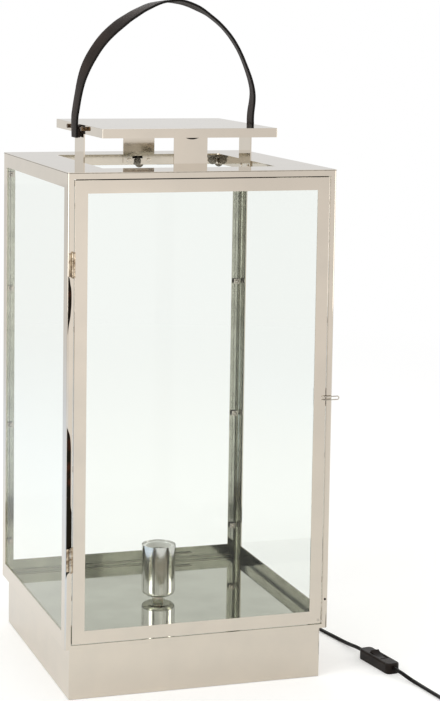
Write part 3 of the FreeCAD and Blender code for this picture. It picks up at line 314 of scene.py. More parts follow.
# Nylon washer and spacer: cream, slightly waxy.
nylon = layeredMaterial(
    "cream nylon", {"IOR": 1.53, "Subsurface Weight": 0.1, "Subsurface Scale": 1 * mm},
    colour={"grain": 3 * mm, "ends": ("#fffaf0", "#f6efde")},
    roughness={"ends": (0.35, 0.5)})

# Extruded PVC sheath: black with a soft gloss and fine lengthwise unevenness.
sheath = layeredMaterial(
    "black PVC sheath", {"IOR": 1.53, "Specular IOR Level": 0.12},
    colour={"grain": 25 * mm, "detail": 2.0, "span": (0.4, 0.7), "ends": ("#0c0b0a", "#171513")},
    roughness={"grain": 1.6 * mm, "detail": 3.0, "ends": (0.3, 0.45)},
    relief={"grain": 1.6 * mm, "detail": 3.0, "height": 0.05 * mm})

# Switch housing of moulded ABS: brown black, with a spark-eroded texture of about 0.2 mm, which
# is drawn three times as coarse, so that it shows.
housing = layeredMaterial(
    "moulded black ABS", {"IOR": 1.54, "Specular IOR Level": 0.13},
    colour={"grain": 12 * mm, "detail": 2.0, "span": (0.35, 0.7), "ends": ("#140e0b", "#201813")},
    roughness={"grain": 0.6 * mm, "ends": (0.26, 0.38)},
    relief={"grain": 0.6 * mm, "height": 0.04 * mm, "strength": 0.6})

# Pressed wool felt: black, fuzzy, with a faint sheen.
felt = layeredMaterial(
    "pressed wool felt", {"Roughness": 0.95, "Sheen Weight": 0.5},
    colour={"grain": 1.0 * mm, "detail": 5.0, "ends": ("#17171a", "#303033")},
    relief={"height": 0.4 * mm})

hide = {
    "dark": "#1d1511",
    "worn": "#2a201a",
    "edge": "#100d0b",
    "wornLayer": {"grain": 22 * mm, "span": (0.35, 0.7)},
    "roughLayer": {"grain": 0.7 * mm, "span": (0.3, 0.7)},
    "roughness": (0.42, 0.6),
    "fineLayer": {"grain": 0.7 * mm},
    "pebble": 1.1 * mm,
    "pebbleShare": 0.6,
    "relief": 0.18 * mm,
    "strength": 0.8,
}


# Waxed bridle leather: very dark brown, paler and duller where it bends, and darker along its cut
# edges (the edge attribute is 1 there). Its pebbled grain of about 0.8 mm is drawn 1.1 mm wide,
# so that it shows.
def waxedLeather():
    material, tree, shader, place = newMaterial("waxed bridle leather", {
        "IOR": 1.5, "Specular IOR Level": 0.14})
    pebbles = addNode(tree, "ShaderNodeTexVoronoi", {"feature": "DISTANCE_TO_EDGE"},
                      {"Vector": place, "Scale": 1 / hide["pebble"]})
    height = addNode(tree, "ShaderNodeMath", {"operation": "MULTIPLY_ADD"}, {
        0: pebbles, 1: hide["pebbleShare"], 2: blotches(tree, place, hide["fineLayer"])})
    edge = addNode(tree, "ShaderNodeAttribute", {"attribute_name": "edge"}).outputs["Fac"]
    setInputs(shader, {
        "Base Color": painted(
            tree, hexColour(hide["dark"]),
            (blotches(tree, place, hide["wornLayer"]), hexColour(hide["worn"])),
            (edge, hexColour(hide["edge"]))),
        "Roughness": blotches(tree, place, hide["roughLayer"], hide["roughness"]),
        "Normal": addNode(tree, "ShaderNodeBump", {}, {
            "Height": height, "Distance": hide["relief"], "Strength": hide["strength"]})})
    return material


leather = waxedLeather()
print("materials made")

# the CAD nodes that each finish goes on
finishes = {
    postSheetWithPaintedReflection: ["post_front_left"],
    sheet: ["post_front_right", "top_rail_left", "top_rail_right", "top_rail_back", "front_sill",
            "front_fascia", "rim_plate", "plinth_skirt", "roof_plate", "upright_front",
            "upright_back", "upright_left", "upright_right", "upright_rivets", "door_frame"],
    innerSheet: ["post_back_left", "post_back_right", "bottom_rail_left", "bottom_rail_right",
                 "bottom_rail_back"],
    small: ["pane_clips", "door_glass_clips", "door_hinge_rivets", "door_pull", "striker_plate",
            "magnet_catch", "cover_screws", "bottom_cover", "switch_screws",
            "holder_nipple", "holder_nuts", "plug_pins"],
    hingeMetal: ["hinge_post_leaves", "hinge_door_leaves", "hinge_pins"],
    floorMetal: ["floor_plate"],
    cupMetal: ["lampholder_cup"],
    brass: ["strap_mounts", "centre_contact"],
    tabMetal: ["rail_clips"],
    shellMetal: ["screw_shell"],
    glass: ["pane_left", "pane_right", "pane_back", "door_glass"],
    porcelain: ["holder_insert"],
    nylon: ["holder_collars"],
    sheath: ["cord_gland", "inner_cable", "cord_back", "cord_front", "cord_coil"],
    housing: ["switch_base", "switch_cover", "switch_rocker", "plug_body"],
    felt: ["base_felt"],
    leather: ["leather_strap", "strap_tabs"],
}
for material, names in finishes.items():
    for name in names:
        mesh = nodes[name].data
        mesh.materials.clear()
        mesh.materials.append(material)
print("CAD nodes finished")


# ---- pieces

# puts a finished bmesh or mesh into the scene; replaced names the CAD nodes that it stands for,
# and smooth is the angle in degrees up to which its edges are shaded smooth
def addPiece(name, mesh, material, replaced=(), smooth=None):
    if isinstance(mesh, bmesh.types.BMesh):
        data = bpy.data.meshes.new(name)
        mesh.to_mesh(data)
        mesh.free()
        mesh = data
    if smooth:
        smoothShade(mesh, smooth)
    mesh.materials.clear()
    mesh.materials.append(material)
    piece = bpy.data.objects.new(name, mesh)
    bpy.context.scene.collection.objects.link(piece)
    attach(piece, "case")
    if replaced:
        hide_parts(*replaced)
    return piece


def smoothShade(mesh, degrees):
    mesh.polygons.foreach_set("use_smooth", [True] * len(mesh.polygons))
    mesh.set_sharp_from_angle(angle=math.radians(degrees))


# a smooth curve with the points as its controls; its order and end points are set after them
def nurbsCurve(name, points, tilts=()):
    curve = bpy.data.curves.new(name, "CURVE")
    curve.dimensions = "3D"
    curve.resolution_u = 10
    curve.twist_mode = "Z_UP"
    spline = curve.splines.new("NURBS")
    spline.points.add(len(points) - 1)
    for control, place in zip(spline.points, points):
        control.co = (*place, 1)
    for control, tilt in zip(spline.points, tilts):
        control.tilt = tilt
    spline.order_u = 3
    spline.use_endpoint_u = True
    return curve


# the mesh of a curve, with its section and fillings
def curveMesh(name, curve):
    holder = bpy.data.objects.new(name, curve)
    bpy.context.scene.collection.objects.link(holder)
    bpy.context.view_layer.update()
    evaluated = holder.evaluated_get(bpy.context.evaluated_depsgraph_get())
    mesh = bpy.data.meshes.new_from_object(evaluated)
    bpy.data.objects.remove(holder)
    return mesh


# ---- cords

cordShape = {
    "width": 4.4 * mm,
    "thickness": 3.4 * mm,
    "rest": 1.75 * mm,
    "layer": 3.46 * mm,
    "webShare": 0.8,  # how far each core's arc runs on towards the web
    "arcSteps": 8,
}

onTable = cordShape["rest"]
# routes, in metres, from the strain relief to the switch and from the switch to the coil
backRoute = [
    (0.095, 0.1675, 0.012), (0.095, 0.1835, 0.012), (0.105, 0.1995, 0.0062),
    (0.127, 0.206, onTable), (0.153, 0.199, onTable), (0.173, 0.181, onTable),
    (0.186, 0.156, onTable), (0.1936, 0.127, onTable), (0.1984, 0.096, onTable),
    (0.2016, 0.064, onTable), (0.2032, 0.033, onTable), (0.2066, 0.003, onTable),
    (0.210, -0.0155, 0.0019), (0.2134, -0.0375, 0.0022), (0.2156, -0.0585, 0.0034),
    (0.21683, -0.0802, 0.0065), (0.2189, -0.09607, 0.0065),
]
# the flat cord turns on edge before it enters the switch
backTilt = [0.0] * 12 + [0.5, 1.2, math.pi / 2, math.pi / 2, math.pi / 2]
frontRoute = [
    (0.22731, -0.16053, 0.0065), (0.22912, -0.17442, 0.0065), (0.2336, -0.191, 0.0032),
    (0.238, -0.210, onTable), (0.2402, -0.231, onTable), (0.243, -0.253, onTable),
    (0.243, -0.270, onTable),
]
frontTilt = [math.pi / 2, math.pi / 2, 0.9, 0.0, 0.0, 0.0, 0.0]

coil = {
    "middle": 26 * mm,
    "step": 5 * mm,
    "halfTurns": 7,
    "straight": 5 * mm,
    "tuck": 0.6 * mm,
    "pointsPerHalf": 7,
    "plugHeight": 7.6 * mm,
}


# the coil's turns: in along the table, a climb, and out again on top
def coilRoute(entry):
    radius = coil["middle"] + coil["halfTurns"] * coil["step"] / 4
    centre = Vector((entry[0] + radius, entry[1] - coil["straight"], 0))
    height = cordShape["rest"]
    at = Vector((entry[0], centre.y, height))
    side = -1
    points = [at.copy()]
    turns = coil["halfTurns"]
    for half in range(2 * turns + 1):
        tuck = coil["tuck"] if abs(half - turns) == 1 else 0.0
        if half == turns:
            height += cordShape["layer"]
        else:
            radius += math.copysign(coil["step"] / 2 + tuck, half - turns)
        end = Vector((centre.x - side * radius, centre.y, height))
        middle = (at + end) / 2
        reach = (end - at).length / 2
        for i in range(1, coil["pointsPerHalf"] + 1):
            angle = math.pi * i / coil["pointsPerHalf"]
            point = middle + (at - middle) * math.cos(angle)
            point.y += side * reach * math.sin(angle)
            points.append(point)
        side, at = -side, end
    # the last quarter of a turn rises to the plug
    rising = coil["pointsPerHalf"] // 2
    for i in range(rising):
        share = (i + 1) / (rising + 1)
        points[-rising + i].z += share ** 2 * (coil["plugHeight"] - height)
    points[-1].z = coil["plugHeight"]
    last = points[-1] + Vector((0, coil["straight"], 0))
    return points + [last]


# the section of the flat twin cord: two round cores joined by a web
def twinSection():
    outer = cordShape["thickness"] / 2
    offset = cordShape["width"] / 2 - outer
    reach = math.acos(-offset / outer * cordShape["webShare"])
    points = []
    for side in (1, -1):
        for i in range(cordShape["arcSteps"] + 1):
            angle = reach * (2 * i / cordShape["arcSteps"] - 1)
            points.append((side * (offset + outer * math.cos(angle)),
                           side * outer * math.sin(angle)))
    curve = bpy.data.curves.new("cordSection", "CURVE")
    curve.dimensions = "2D"
    spline = curve.splines.new("POLY")
    spline.points.add(len(points) - 1)
    for control, (x, y) in zip(spline.points, points):
        control.co = (x, y, 0, 1)
    spline.use_cyclic_u = True
    section = bpy.data.objects.new("cordSection", curve)
    bpy.context.scene.collection.objects.link(section)
    return section


def flatCord(name, route, tilts, section, replaced):
    line = curveMesh(name + "Line", nurbsCurve(name + "Line", route))
    path = [vertex.co.copy() for vertex in line.vertices]
    curve = nurbsCurve(name, route, tilts)
    curve.bevel_mode = "OBJECT"
    curve.bevel_object = section
    curve.use_fill_caps = True
    mesh = curveMesh(name, curve)
    return addPiece(name, mesh, sheath, replaced=replaced, smooth=50), path


cordSection = twinSection()
coilPoints = coilRoute(frontRoute[-1])
frontRouteWhole = frontRoute + coilPoints
backCord, backPath = flatCord("cordToSwitch", backRoute, backTilt, cordSection, ["cord_back"])
frontCord, frontPath = flatCord("cordToPlug", frontRouteWhole,
                                frontTilt + [0.0] * len(coilPoints), cordSection,
                                ["cord_front", "cord_coil"])
# the lead inside the plinth, from the strain relief up into the lampholder
innerRoute = [(0.095, 0.1408, 0.012), (0.095, 0.120, 0.012), (0.095, 0.104, 0.0122),
              (0.074, 0.062, 0.0125), (0.042, 0.028, 0.013), (0.012, 0.006, 0.0135),
              (0.0, 0.0, 0.022), (0.0, 0.0, 0.045), (0.0, 0.0, 0.0764)]
flatCord("innerLead", innerRoute, [0.0] * len(innerRoute), cordSection, ["inner_cable"])
bpy.data.objects.remove(cordSection)


def lengthOf(path):
    return sum((b - a).length for a, b in zip(path, path[1:]))


print("cords:", round(lengthOf(backPath), 3), "m and", round(lengthOf(frontPath), 3), "m")


# ---- carrying strap

strap = {
    "width": 20 * mm,
    "thickness": 2.6 * mm,
    "legHeight": 609 * mm,
    "legBottom": 592.8 * mm,
    "legPlace": 104.1 * mm,
    "roofTop": 608 * mm,
    "edgeRound": 0.6 * mm,
    "waves": 18,  # per metre
    "wavesAcross": 1.2,  # over the width
    "waveHeight": 0.5 * mm,
    "edgeWaves": 45,
    "edgeWander": 0.9 * mm,
    "cupping": 0.35 * mm,
    "darkEdge": (1.6 * mm, 1.2 * mm),  # where the dark cut edge starts, and how it fades
    "rowsAcross": 10,
    "legFoot": 8 * mm,
    # how far in from the nearer end, and how far above the roof, in mm
    "leftArch": [(0, 8), (1.3, 16), (3.7, 32), (7.7, 51.5), (15.3, 70), (28.6, 90.5),
                 (47.1, 108.6), (71.1, 125), (94.1, 135.4)],
    "rightArch": [(90.1, 138.3), (68.1, 131.8), (48.1, 120), (30.1, 104), (15.6, 83.5),
                  (5.5, 61.5), (-0.8, 43), (-2.4, 29), (0.9, 9)],
    # it has taken a set: degrees of twist at a share of the way along
    "twist": [(0, 0), (0.1, 4), (0.24, 19), (0.34, 22), (0.38, 17), (0.43, 11), (0.49, 0),
              (0.53, -7), (0.58, -6), (0.63, 2), (0.69, 6), (0.77, 8), (0.86, 6), (0.93, 1),
              (1, 0)],
}


def strapLine():
    place, top = strap["legPlace"], strap["roofTop"]
    ankle = strap["legHeight"] - strap["legFoot"]
    points = [(-place, 0, strap["legBottom"]), (-place, 0, ankle)]
    points += [(-place + x * mm, 0, top + z * mm) for x, z in strap["leftArch"]]
    points += [(place - x * mm, 0, top + z * mm) for x, z in strap["rightArch"]]
    points += [(place, 0, ankle), (place, 0, strap["legBottom"])]
    line = curveMesh("strapLine", nurbsCurve("strapLine", points))
    return [vertex.co.copy() for vertex in line.vertices]


def strapTwist(share):
    for (start, first), (end, second) in zip(strap["twist"], strap["twist"][1:]):
        if share <= end:
            way = (share - start) / (end - start)
            way = way * way * (3 - 2 * way)
            return math.radians(first + (second - first) * way)
    return 0.0


# a strip laid along a line: each row of the grid moves to its place on the line
def layStrip(line):
    rows = len(line)
    bm = bmesh.new()
    bmesh.ops.create_grid(bm, x_segments=rows - 1, y_segments=strap["rowsAcross"], size=0.5)
    lengths = [0.0]
    for a, b in zip(line, line[1:]):
        lengths.append(lengths[-1] + (b - a).length)
    for vertex in bm.verts:
        i = round((vertex.co.x + 0.5) * (rows - 1))
        offAxis = vertex.co.y
        before, after = line[max(i - 1, 0)], line[min(i + 1, rows - 1)]
        along = (after - before).normalized()
        turn = Matrix.Rotation(strapTwist(lengths[i] / lengths[-1]), 3, along)
        outward = turn @ Vector((-along.z, 0, along.x))
        sideways = turn @ Vector((0, 1, 0))
        wave = noise.noise(Vector((lengths[i] * strap["waves"], offAxis * strap["wavesAcross"],
                                   0)))
        shift = wave * strap["waveHeight"]
        # each edge reads the noise in a place of its own
        edgeWave = noise.noise(Vector((lengths[i] * strap["edgeWaves"], 0,
                                       math.copysign(3, offAxis))))
        width = strap["width"] * offAxis + abs(offAxis) * strap["edgeWander"] * edgeWave
        cup = outward * (abs(offAxis * 2) ** 2 * strap["cupping"])
        vertex.co = line[i] + sideways * width + outward * shift - cup
    return bm


def leatherStrap():
    bm = layStrip(strapLine())
    bmesh.ops.recalc_face_normals(bm, faces=bm.faces)
    piece = addPiece("leatherStrap", bm, leather, replaced=["leather_strap"])
    solid = piece.modifiers.new("thickness", "SOLIDIFY")
    solid.thickness = strap["thickness"]
    solid.offset = 0.0
    edges = piece.modifiers.new("edges", "BEVEL")
    edges.width = strap["edgeRound"]
    edges.segments = 2
    edges.limit_method = "ANGLE"
    edges.angle_limit = math.radians(60)
    applied = meshWithModifiers(piece)
    piece.modifiers.clear()
    piece.data = applied
    markEdges(piece.data)
    smoothShade(piece.data, 60)
    return piece


def meshWithModifiers(piece):
    bpy.context.view_layer.update()
    evaluated = piece.evaluated_get(bpy.context.evaluated_depsgraph_get())
    return bpy.data.meshes.new_from_object(evaluated)


# the edge attribute is 1 on the strap's cut sides
def markEdges(mesh):
    attribute = mesh.attributes.new("edge", "FLOAT", "POINT")
    start, fade = strap["darkEdge"]
    start = strap["width"] / 2 - start
    for vertex, value in zip(mesh.vertices, attribute.data):
        value.value = min(1.0, max(0.0, (abs(vertex.co.y) - start) / fade))


print("strap laid:", len(leatherStrap().data.vertices), "vertices")

# ---- hinge leaves on the left post

hinge = {
    "levels": (154.8, 469.6),
    "height": 24.6,
    "left": -149.2,
    "right": -144.6,
    "face": -150.0,
    "thickness": 0.5,
    "screwRadius": 1.0,
    "screwPlaces": (-7.5, 7.5),
    "screwHeight": 0.4,
    "edge": 0.12,
}


# a plate with its edges rounded, given by its lowest and highest corners in mm
def plate(low, high, edge):
    bm = bmesh.new()
    bmesh.ops.create_cube(bm, size=1.0)
    low, high = Vector(low) * mm, Vector(high) * mm
    bmesh.ops.scale(bm, verts=bm.verts, vec=high - low)
    bmesh.ops.translate(bm, verts=bm.verts, vec=(low + high) / 2)
    bmesh.ops.bevel(bm, geom=bm.edges[:], offset=edge * mm, affect="EDGES", segments=2,
                    profile=0.5, material=-1)
    return bm


headRound = 0.6  # of a head's height


# a low round head that stands out along -Y, its edge rounded
def buttonHead(place, radius, height, sides=24):
    bm = bmesh.new()
    bmesh.ops.create_cone(bm, cap_ends=True, cap_tris=False, segments=sides,
                          radius1=radius * mm, radius2=radius * mm, depth=height * mm)
    top = [e for e in bm.edges if all(v.co.z > 0 for v in e.verts)]
    bmesh.ops.bevel(bm, geom=top, offset=height * headRound * mm, affect="EDGES",
                    segments=3, profile=0.5, material=-1)
    x, y, z = place
    bmesh.ops.rotate(bm, verts=bm.verts, matrix=Matrix.Rotation(math.radians(90), 3, "X"))
    bmesh.ops.translate(bm, verts=bm.verts, vec=(x * mm, (y - height / 2) * mm, z * mm))
    return bm


def joined(parts):
    bm = bmesh.new()
    for part in parts:
        data = bpy.data.meshes.new("part")
        part.to_mesh(data)
        part.free()
        bm.from_mesh(data)
        bpy.data.meshes.remove(data)
    return bm


def hingeFaceLeaves():
    parts = []
    for level in hinge["levels"]:
        half = hinge["height"] / 2
        front = hinge["face"] - hinge["thickness"]
        parts.append(plate((hinge["left"], front, level - half),
                           (hinge["right"], hinge["face"], level + half), hinge["edge"]))
        middle = (hinge["left"] + hinge["right"]) / 2
        for offset in hinge["screwPlaces"]:
            parts.append(buttonHead((middle, front, level + offset), hinge["screwRadius"],
                                    hinge["screwHeight"]))
    return addPiece("hingeFaceLeaves", joined(parts), hingeMetal, smooth=35)


hingeFaceLeaves()

# ---- leather tabs, strain relief, felt

tabs = {
    "inner": 99.8,
    "outer": 102.75,
    "halfWidth": 9.8,
    "bottom": 593.2,
    "top": 606.6,
    "edge": 0.7,
}


# the strap's ends are folded back over the bars, between the strap and the roof's side
def foldedTabs():
    parts = []
    for side in (-1, 1):
        inner, outer = sorted((side * tabs["inner"], side * tabs["outer"]))
        parts.append(plate((inner, -tabs["halfWidth"], tabs["bottom"]),
                           (outer, tabs["halfWidth"], tabs["top"]), tabs["edge"]))
    return addPiece("foldedTabs", joined(parts), leather, replaced=["strap_tabs"])


relief = {
    "place": (95.0, 12.0),  # x and z of its axis
    # along the cord and out from it, in mm: inner collar, groove in the wall, flange
    "profile": [(140.8, 0.0), (140.8, 5.4), (141.2, 5.9), (142.3, 5.9), (142.3, 4.7),
                (143.5, 4.7), (143.5, 6.1), (143.9, 6.5), (145.1, 6.5), (145.5, 6.1)],
    "ribsFrom": 145.5,
    "ribsTo": 167.5,
    "ribs": 8,
    "ribDepth": 0.6,
    "ribShape": ((0.05, 0.0), (0.6, 0.0), (0.68, 1.0), (0.95, 1.0)),  # share along, depth
    "radiusFrom": 4.5,
    "radiusTo": 2.9,
    "steps": 36,
}


# the tapered strain relief with its bending ribs
def ribbedRelief():
    profile = list(relief["profile"])
    step = (relief["ribsTo"] - relief["ribsFrom"]) / relief["ribs"]
    for i in range(relief["ribs"]):
        for share, depth in relief["ribShape"]:
            along = relief["ribsFrom"] + (i + share) * step
            way = (along - relief["ribsFrom"]) / (relief["ribsTo"] - relief["ribsFrom"])
            radius = relief["radiusFrom"] + (relief["radiusTo"] - relief["radiusFrom"]) * way
            profile.append((along, radius - depth * relief["ribDepth"]))
    profile += [(relief["ribsTo"], relief["radiusTo"]), (relief["ribsTo"], 0.0)]
    x, z = relief["place"]
    bm = bmesh.new()
    verts = [bm.verts.new((x * mm + out * mm, along * mm, z * mm)) for along, out in profile]
    edges = [bm.edges.new(pair) for pair in zip(verts, verts[1:])]
    bmesh.ops.spin(bm, geom=verts + edges, cent=(x * mm, 0, z * mm), axis=(0, 1, 0),
                   angle=2 * math.pi, steps=relief["steps"], use_merge=True)
    bmesh.ops.remove_doubles(bm, verts=bm.verts, dist=0.001 * mm)
    bmesh.ops.recalc_face_normals(bm, faces=bm.faces)
    return addPiece("strainRelief", bm, sheath, replaced=["cord_gland"],
                    smooth=40)


pad = {"half": 128.4, "thickness": 2.0, "edge": 0.5}


# the felt under the plinth
def feltPad():
    half = pad["half"]
    bm = plate((-half, -half, 0.0), (half, half, pad["thickness"]), pad["edge"])
    return addPiece("feltPad", bm, felt, replaced=["base_felt"])


neck = {
    "rings": ((59.0, 60.9, 6.4), (62.2, 64.1, 6.0)),  # bottom, top and radius
    "waist": (60.7, 62.4, 5.2),
    "steps": 40,
    "edge": 0.3,
}


# two cream rings with a waist between them, under the lampholder's cup
def neckRings():
    parts = []
    for bottom, top, radius in (*neck["rings"], neck["waist"]):
        bm = bmesh.new()
        bmesh.ops.create_cone(bm, cap_ends=True, cap_tris=False, segments=neck["steps"],
                              radius1=radius * mm, radius2=radius * mm,
                              depth=(top - bottom) * mm)
        rims = [e for e in bm.edges if len({round(v.co.z, 6) for v in e.verts}) == 1]
        bmesh.ops.bevel(bm, geom=rims, offset=neck["edge"] * mm, affect="EDGES", segments=2,
                        profile=0.5, material=-1)
        bmesh.ops.translate(bm, verts=bm.verts, vec=(0, 0, (bottom + top) / 2 * mm))
        parts.append(bm)
    return addPiece("neckRings", joined(parts), nylon,
                    replaced=["holder_collars"], smooth=50)


foldedTabs()
neckRings()
ribbedRelief()
feltPad()
print("tabs, strain relief and felt added")

# ---- small details of the case

# boxes are lowest and highest corners, with the rounding of their edges
details = {
    "lip": ((142.75, -149.9, 62.0), (143.45, -149.2, 558.0), 0.1),
    "gapShade": ((-141.0, -148.4, 558.1), (141.0, -147.6, 562.8), 0.2),
    "screwPlace": (146.4, -150.0, 89.5),
    "screwRadius": 1.3,
    "screwHeight": 0.4,
    "notchMiddle": 1.5,
    "notchHalf": 7.7,
    "notchTop": 598.0,
    "notchDepth": 1.8,
    "notchFace": -98.5,
    "notchThickness": 0.15,
    "notchSteps": 12,
    "rivetPlaces": ((138.6, -150.0, 66.4), (142.6, -150.0, 65.4)),
    "rivetRadius": 1.5,
    "rivetHeight": 0.35,
}


# the folded lip on the right post that closes most of the gap beside the door
def stopLip():
    return addPiece("rightStopLip", plate(*details["lip"]), sheet)


# a black strip above the door, behind its gap: painted shade, so that the gap shows dark
def topGapShade():
    return addPiece("doorTopGapShade", plate(*details["gapShade"]), sheath)


# a small black round head, low on the right post
def postScrew():
    bm = buttonHead(details["screwPlace"], details["screwRadius"], details["screwHeight"])
    return addPiece("postScrew", bm, housing)


# the dark crescent where the front upright's rounded tab goes into the roof: painted shade in the
# notch
def roofNotchShade():
    bm = bmesh.new()
    half, count = details["notchHalf"], details["notchSteps"]
    rim = []
    for i in range(count + 1):
        share = 2 * i / count - 1
        rim.append(((details["notchMiddle"] + half * share) * mm,
                    (details["notchTop"] - details["notchDepth"] * (1 - share ** 2)) * mm))
    faces = []
    for depth in (0.0, details["notchThickness"]):
        y = (details["notchFace"] - depth) * mm
        faces.append([bm.verts.new((x, y, z)) for x, z in rim])
    bm.faces.new(faces[0])
    bm.faces.new(faces[1])
    for i in range(-1, count):
        bm.faces.new((faces[0][i], faces[0][i + 1], faces[1][i + 1], faces[1][i]))
    bmesh.ops.recalc_face_normals(bm, faces=bm.faces)
    return addPiece("roofNotchShade", bm, housing)


roundTabs = {
    "places": ((-1.7, 558.1), (92.0, 558.3)),
    "radius": 5.2,
    "face": 97.0,
    "thickness": 1.2,
    "footHalf": 6.5,
    "footBottom": 561.0,
    "footTop": 564.3,
    "edge": 0.2,
    "steps": 36,
}


# dark round tabs that hang from the far edge of the opening, each on a short foot
def hangingTabs():
    parts = []
    face, back = roundTabs["face"], roundTabs["face"] + roundTabs["thickness"]
    for middle, level in roundTabs["places"]:
        parts.append(buttonHead((middle, back, level), roundTabs["radius"],
                                roundTabs["thickness"], roundTabs["steps"]))
        parts.append(plate((middle - roundTabs["footHalf"], face, roundTabs["footBottom"]),
                           (middle + roundTabs["footHalf"], back, roundTabs["footTop"]),
                           roundTabs["edge"]))
    return addPiece("hangingTabs", joined(parts), tabMetal, smooth=40)


railMarks = {
    "slot": ((66.0, 66.5), (88.5, 67.5)),
    "seamLevel": 61.5,
    "seamHeight": 0.6,
    "reach": 139.0,
    "face": 145.4,
    "depth": 0.1,
    "edge": 0.03,
}


# painted shade on the back rail's inner face: a dark strip for a slot, and a thin dark line for
# the seam where its lower edge was folded
def railSlotAndSeamShade():
    (left, bottom), (right, top) = railMarks["slot"]
    front, back = railMarks["face"] - railMarks["depth"], railMarks["face"]
    seam, half = railMarks["seamLevel"], railMarks["seamHeight"] / 2
    parts = [plate((left, front, bottom), (right, back, top), railMarks["edge"]),
             plate((-railMarks["reach"], front, seam - half),
                   (railMarks["reach"], back, seam + half), railMarks["edge"])]
    return addPiece("railSlotAndSeamShade", joined(parts), tabMetal)


seamsAndPaneShadows = {
    "half": 149.3,
    "face": 150.0,
    "depth": 0.06,
    "top": 565.5,
    "bottom": 564.9,
    "round": 0.02,
    "paneShadowFace": 145.3,
    "paneShadowDepth": 0.1,
    "paneShadowFront": 133.4,
    "paneShadowBack": 134.9,
    "paneShadowBottom": 75.0,
    "paneShadowTop": 553.0,
    "paneShadowRound": 0.03,
}


# the soldered seam round the rim, and a dark strip of painted shadow where the side panes meet the
# rear posts
def rimSeamsAndPaneShadows():
    half, bottom, top = seamsAndPaneShadows["half"], seamsAndPaneShadows["bottom"], seamsAndPaneShadows["top"]
    parts = []
    for side in (-1, 1):
        near, far = sorted(side * (seamsAndPaneShadows["face"] + depth) for depth in (0, seamsAndPaneShadows["depth"]))
        parts.append(plate((-half, near, bottom), (half, far, top), seamsAndPaneShadows["round"]))
        parts.append(plate((near, -half, bottom), (far, half, top), seamsAndPaneShadows["round"]))
        # the painted shadow where a side pane meets a rear post
        near, far = sorted(side * (seamsAndPaneShadows["paneShadowFace"] + depth) for depth in (0, seamsAndPaneShadows["paneShadowDepth"]))
        parts.append(plate((near, seamsAndPaneShadows["paneShadowFront"], seamsAndPaneShadows["paneShadowBottom"]),
                           (far, seamsAndPaneShadows["paneShadowBack"], seamsAndPaneShadows["paneShadowTop"]), seamsAndPaneShadows["paneShadowRound"]))
    return addPiece("rimSeamsAndPaneShadows", joined(parts), tabMetal)


# two small rivets at the right end of the sill
def sillRivets():
    heads = [buttonHead(place, details["rivetRadius"], details["rivetHeight"])
             for place in details["rivetPlaces"]]
    return addPiece("sillRivets", joined(heads), small)


roofNotchShade()
hangingTabs()
railSlotAndSeamShade()
rimSeamsAndPaneShadows()
sillRivets()
stopLip()
topGapShade()
postScrew()
print("hinge leaves and small details added")

# ---- surroundings

studio = {
    "floor": 12.0,
    "floorDrop": 0.2 * mm,
    "floorColour": "#eaeae8",
    "floorLift": 0.26,
    "mirrorLift": 0.125,
    "brightLift": 0.1,
    "floorFade": (0.7, 2.4),  # metres from the middle
    "lowFade": (2.0, 8.0),
    "backFade": (-0.5, 1.5),
    "coolFade": (-0.25, -0.4),
    "brightFades": ((0.15, -0.25), (-0.45, -0.2)),
    "cameraSlope": 0.33,  # metres sideways for one metre towards the camera
    "daylight": 0.68,
    # how bright the room is where metal mirrors it: in front, low in front, left of the camera's
    # line in front, behind, on the left, and low on the left
    "mirrorFront": (0.91, 0.89, 0.875, 1),
    "mirrorLow": (0.99, 0.965, 0.945, 1),
    "mirrorBright": (1.12, 1.095, 1.075, 1),
    "mirrorBack": (0.785, 0.78, 0.77, 1),
    "mirrorLeft": (0.88, 0.875, 0.86, 1),
    "coolFloor": (0.80, 0.92, 1.09, 1),
    # where these start and end, as parts of a direction's length
    "skyBack": (-0.8, 0.6),
    "skyBright": ((0.34, 0.23), (0.0, -0.2)),
    "skyLeft": (-0.1, -0.2),
}
white = (1, 1, 1, 1)


# 1 where the camera sees a surface directly or through glass
def seenRays(tree, rays):
    return addNode(tree, "ShaderNodeMath", {"operation": "MAXIMUM"},
                   {0: rays["Is Camera Ray"], 1: rays["Is Transmission Ray"]})


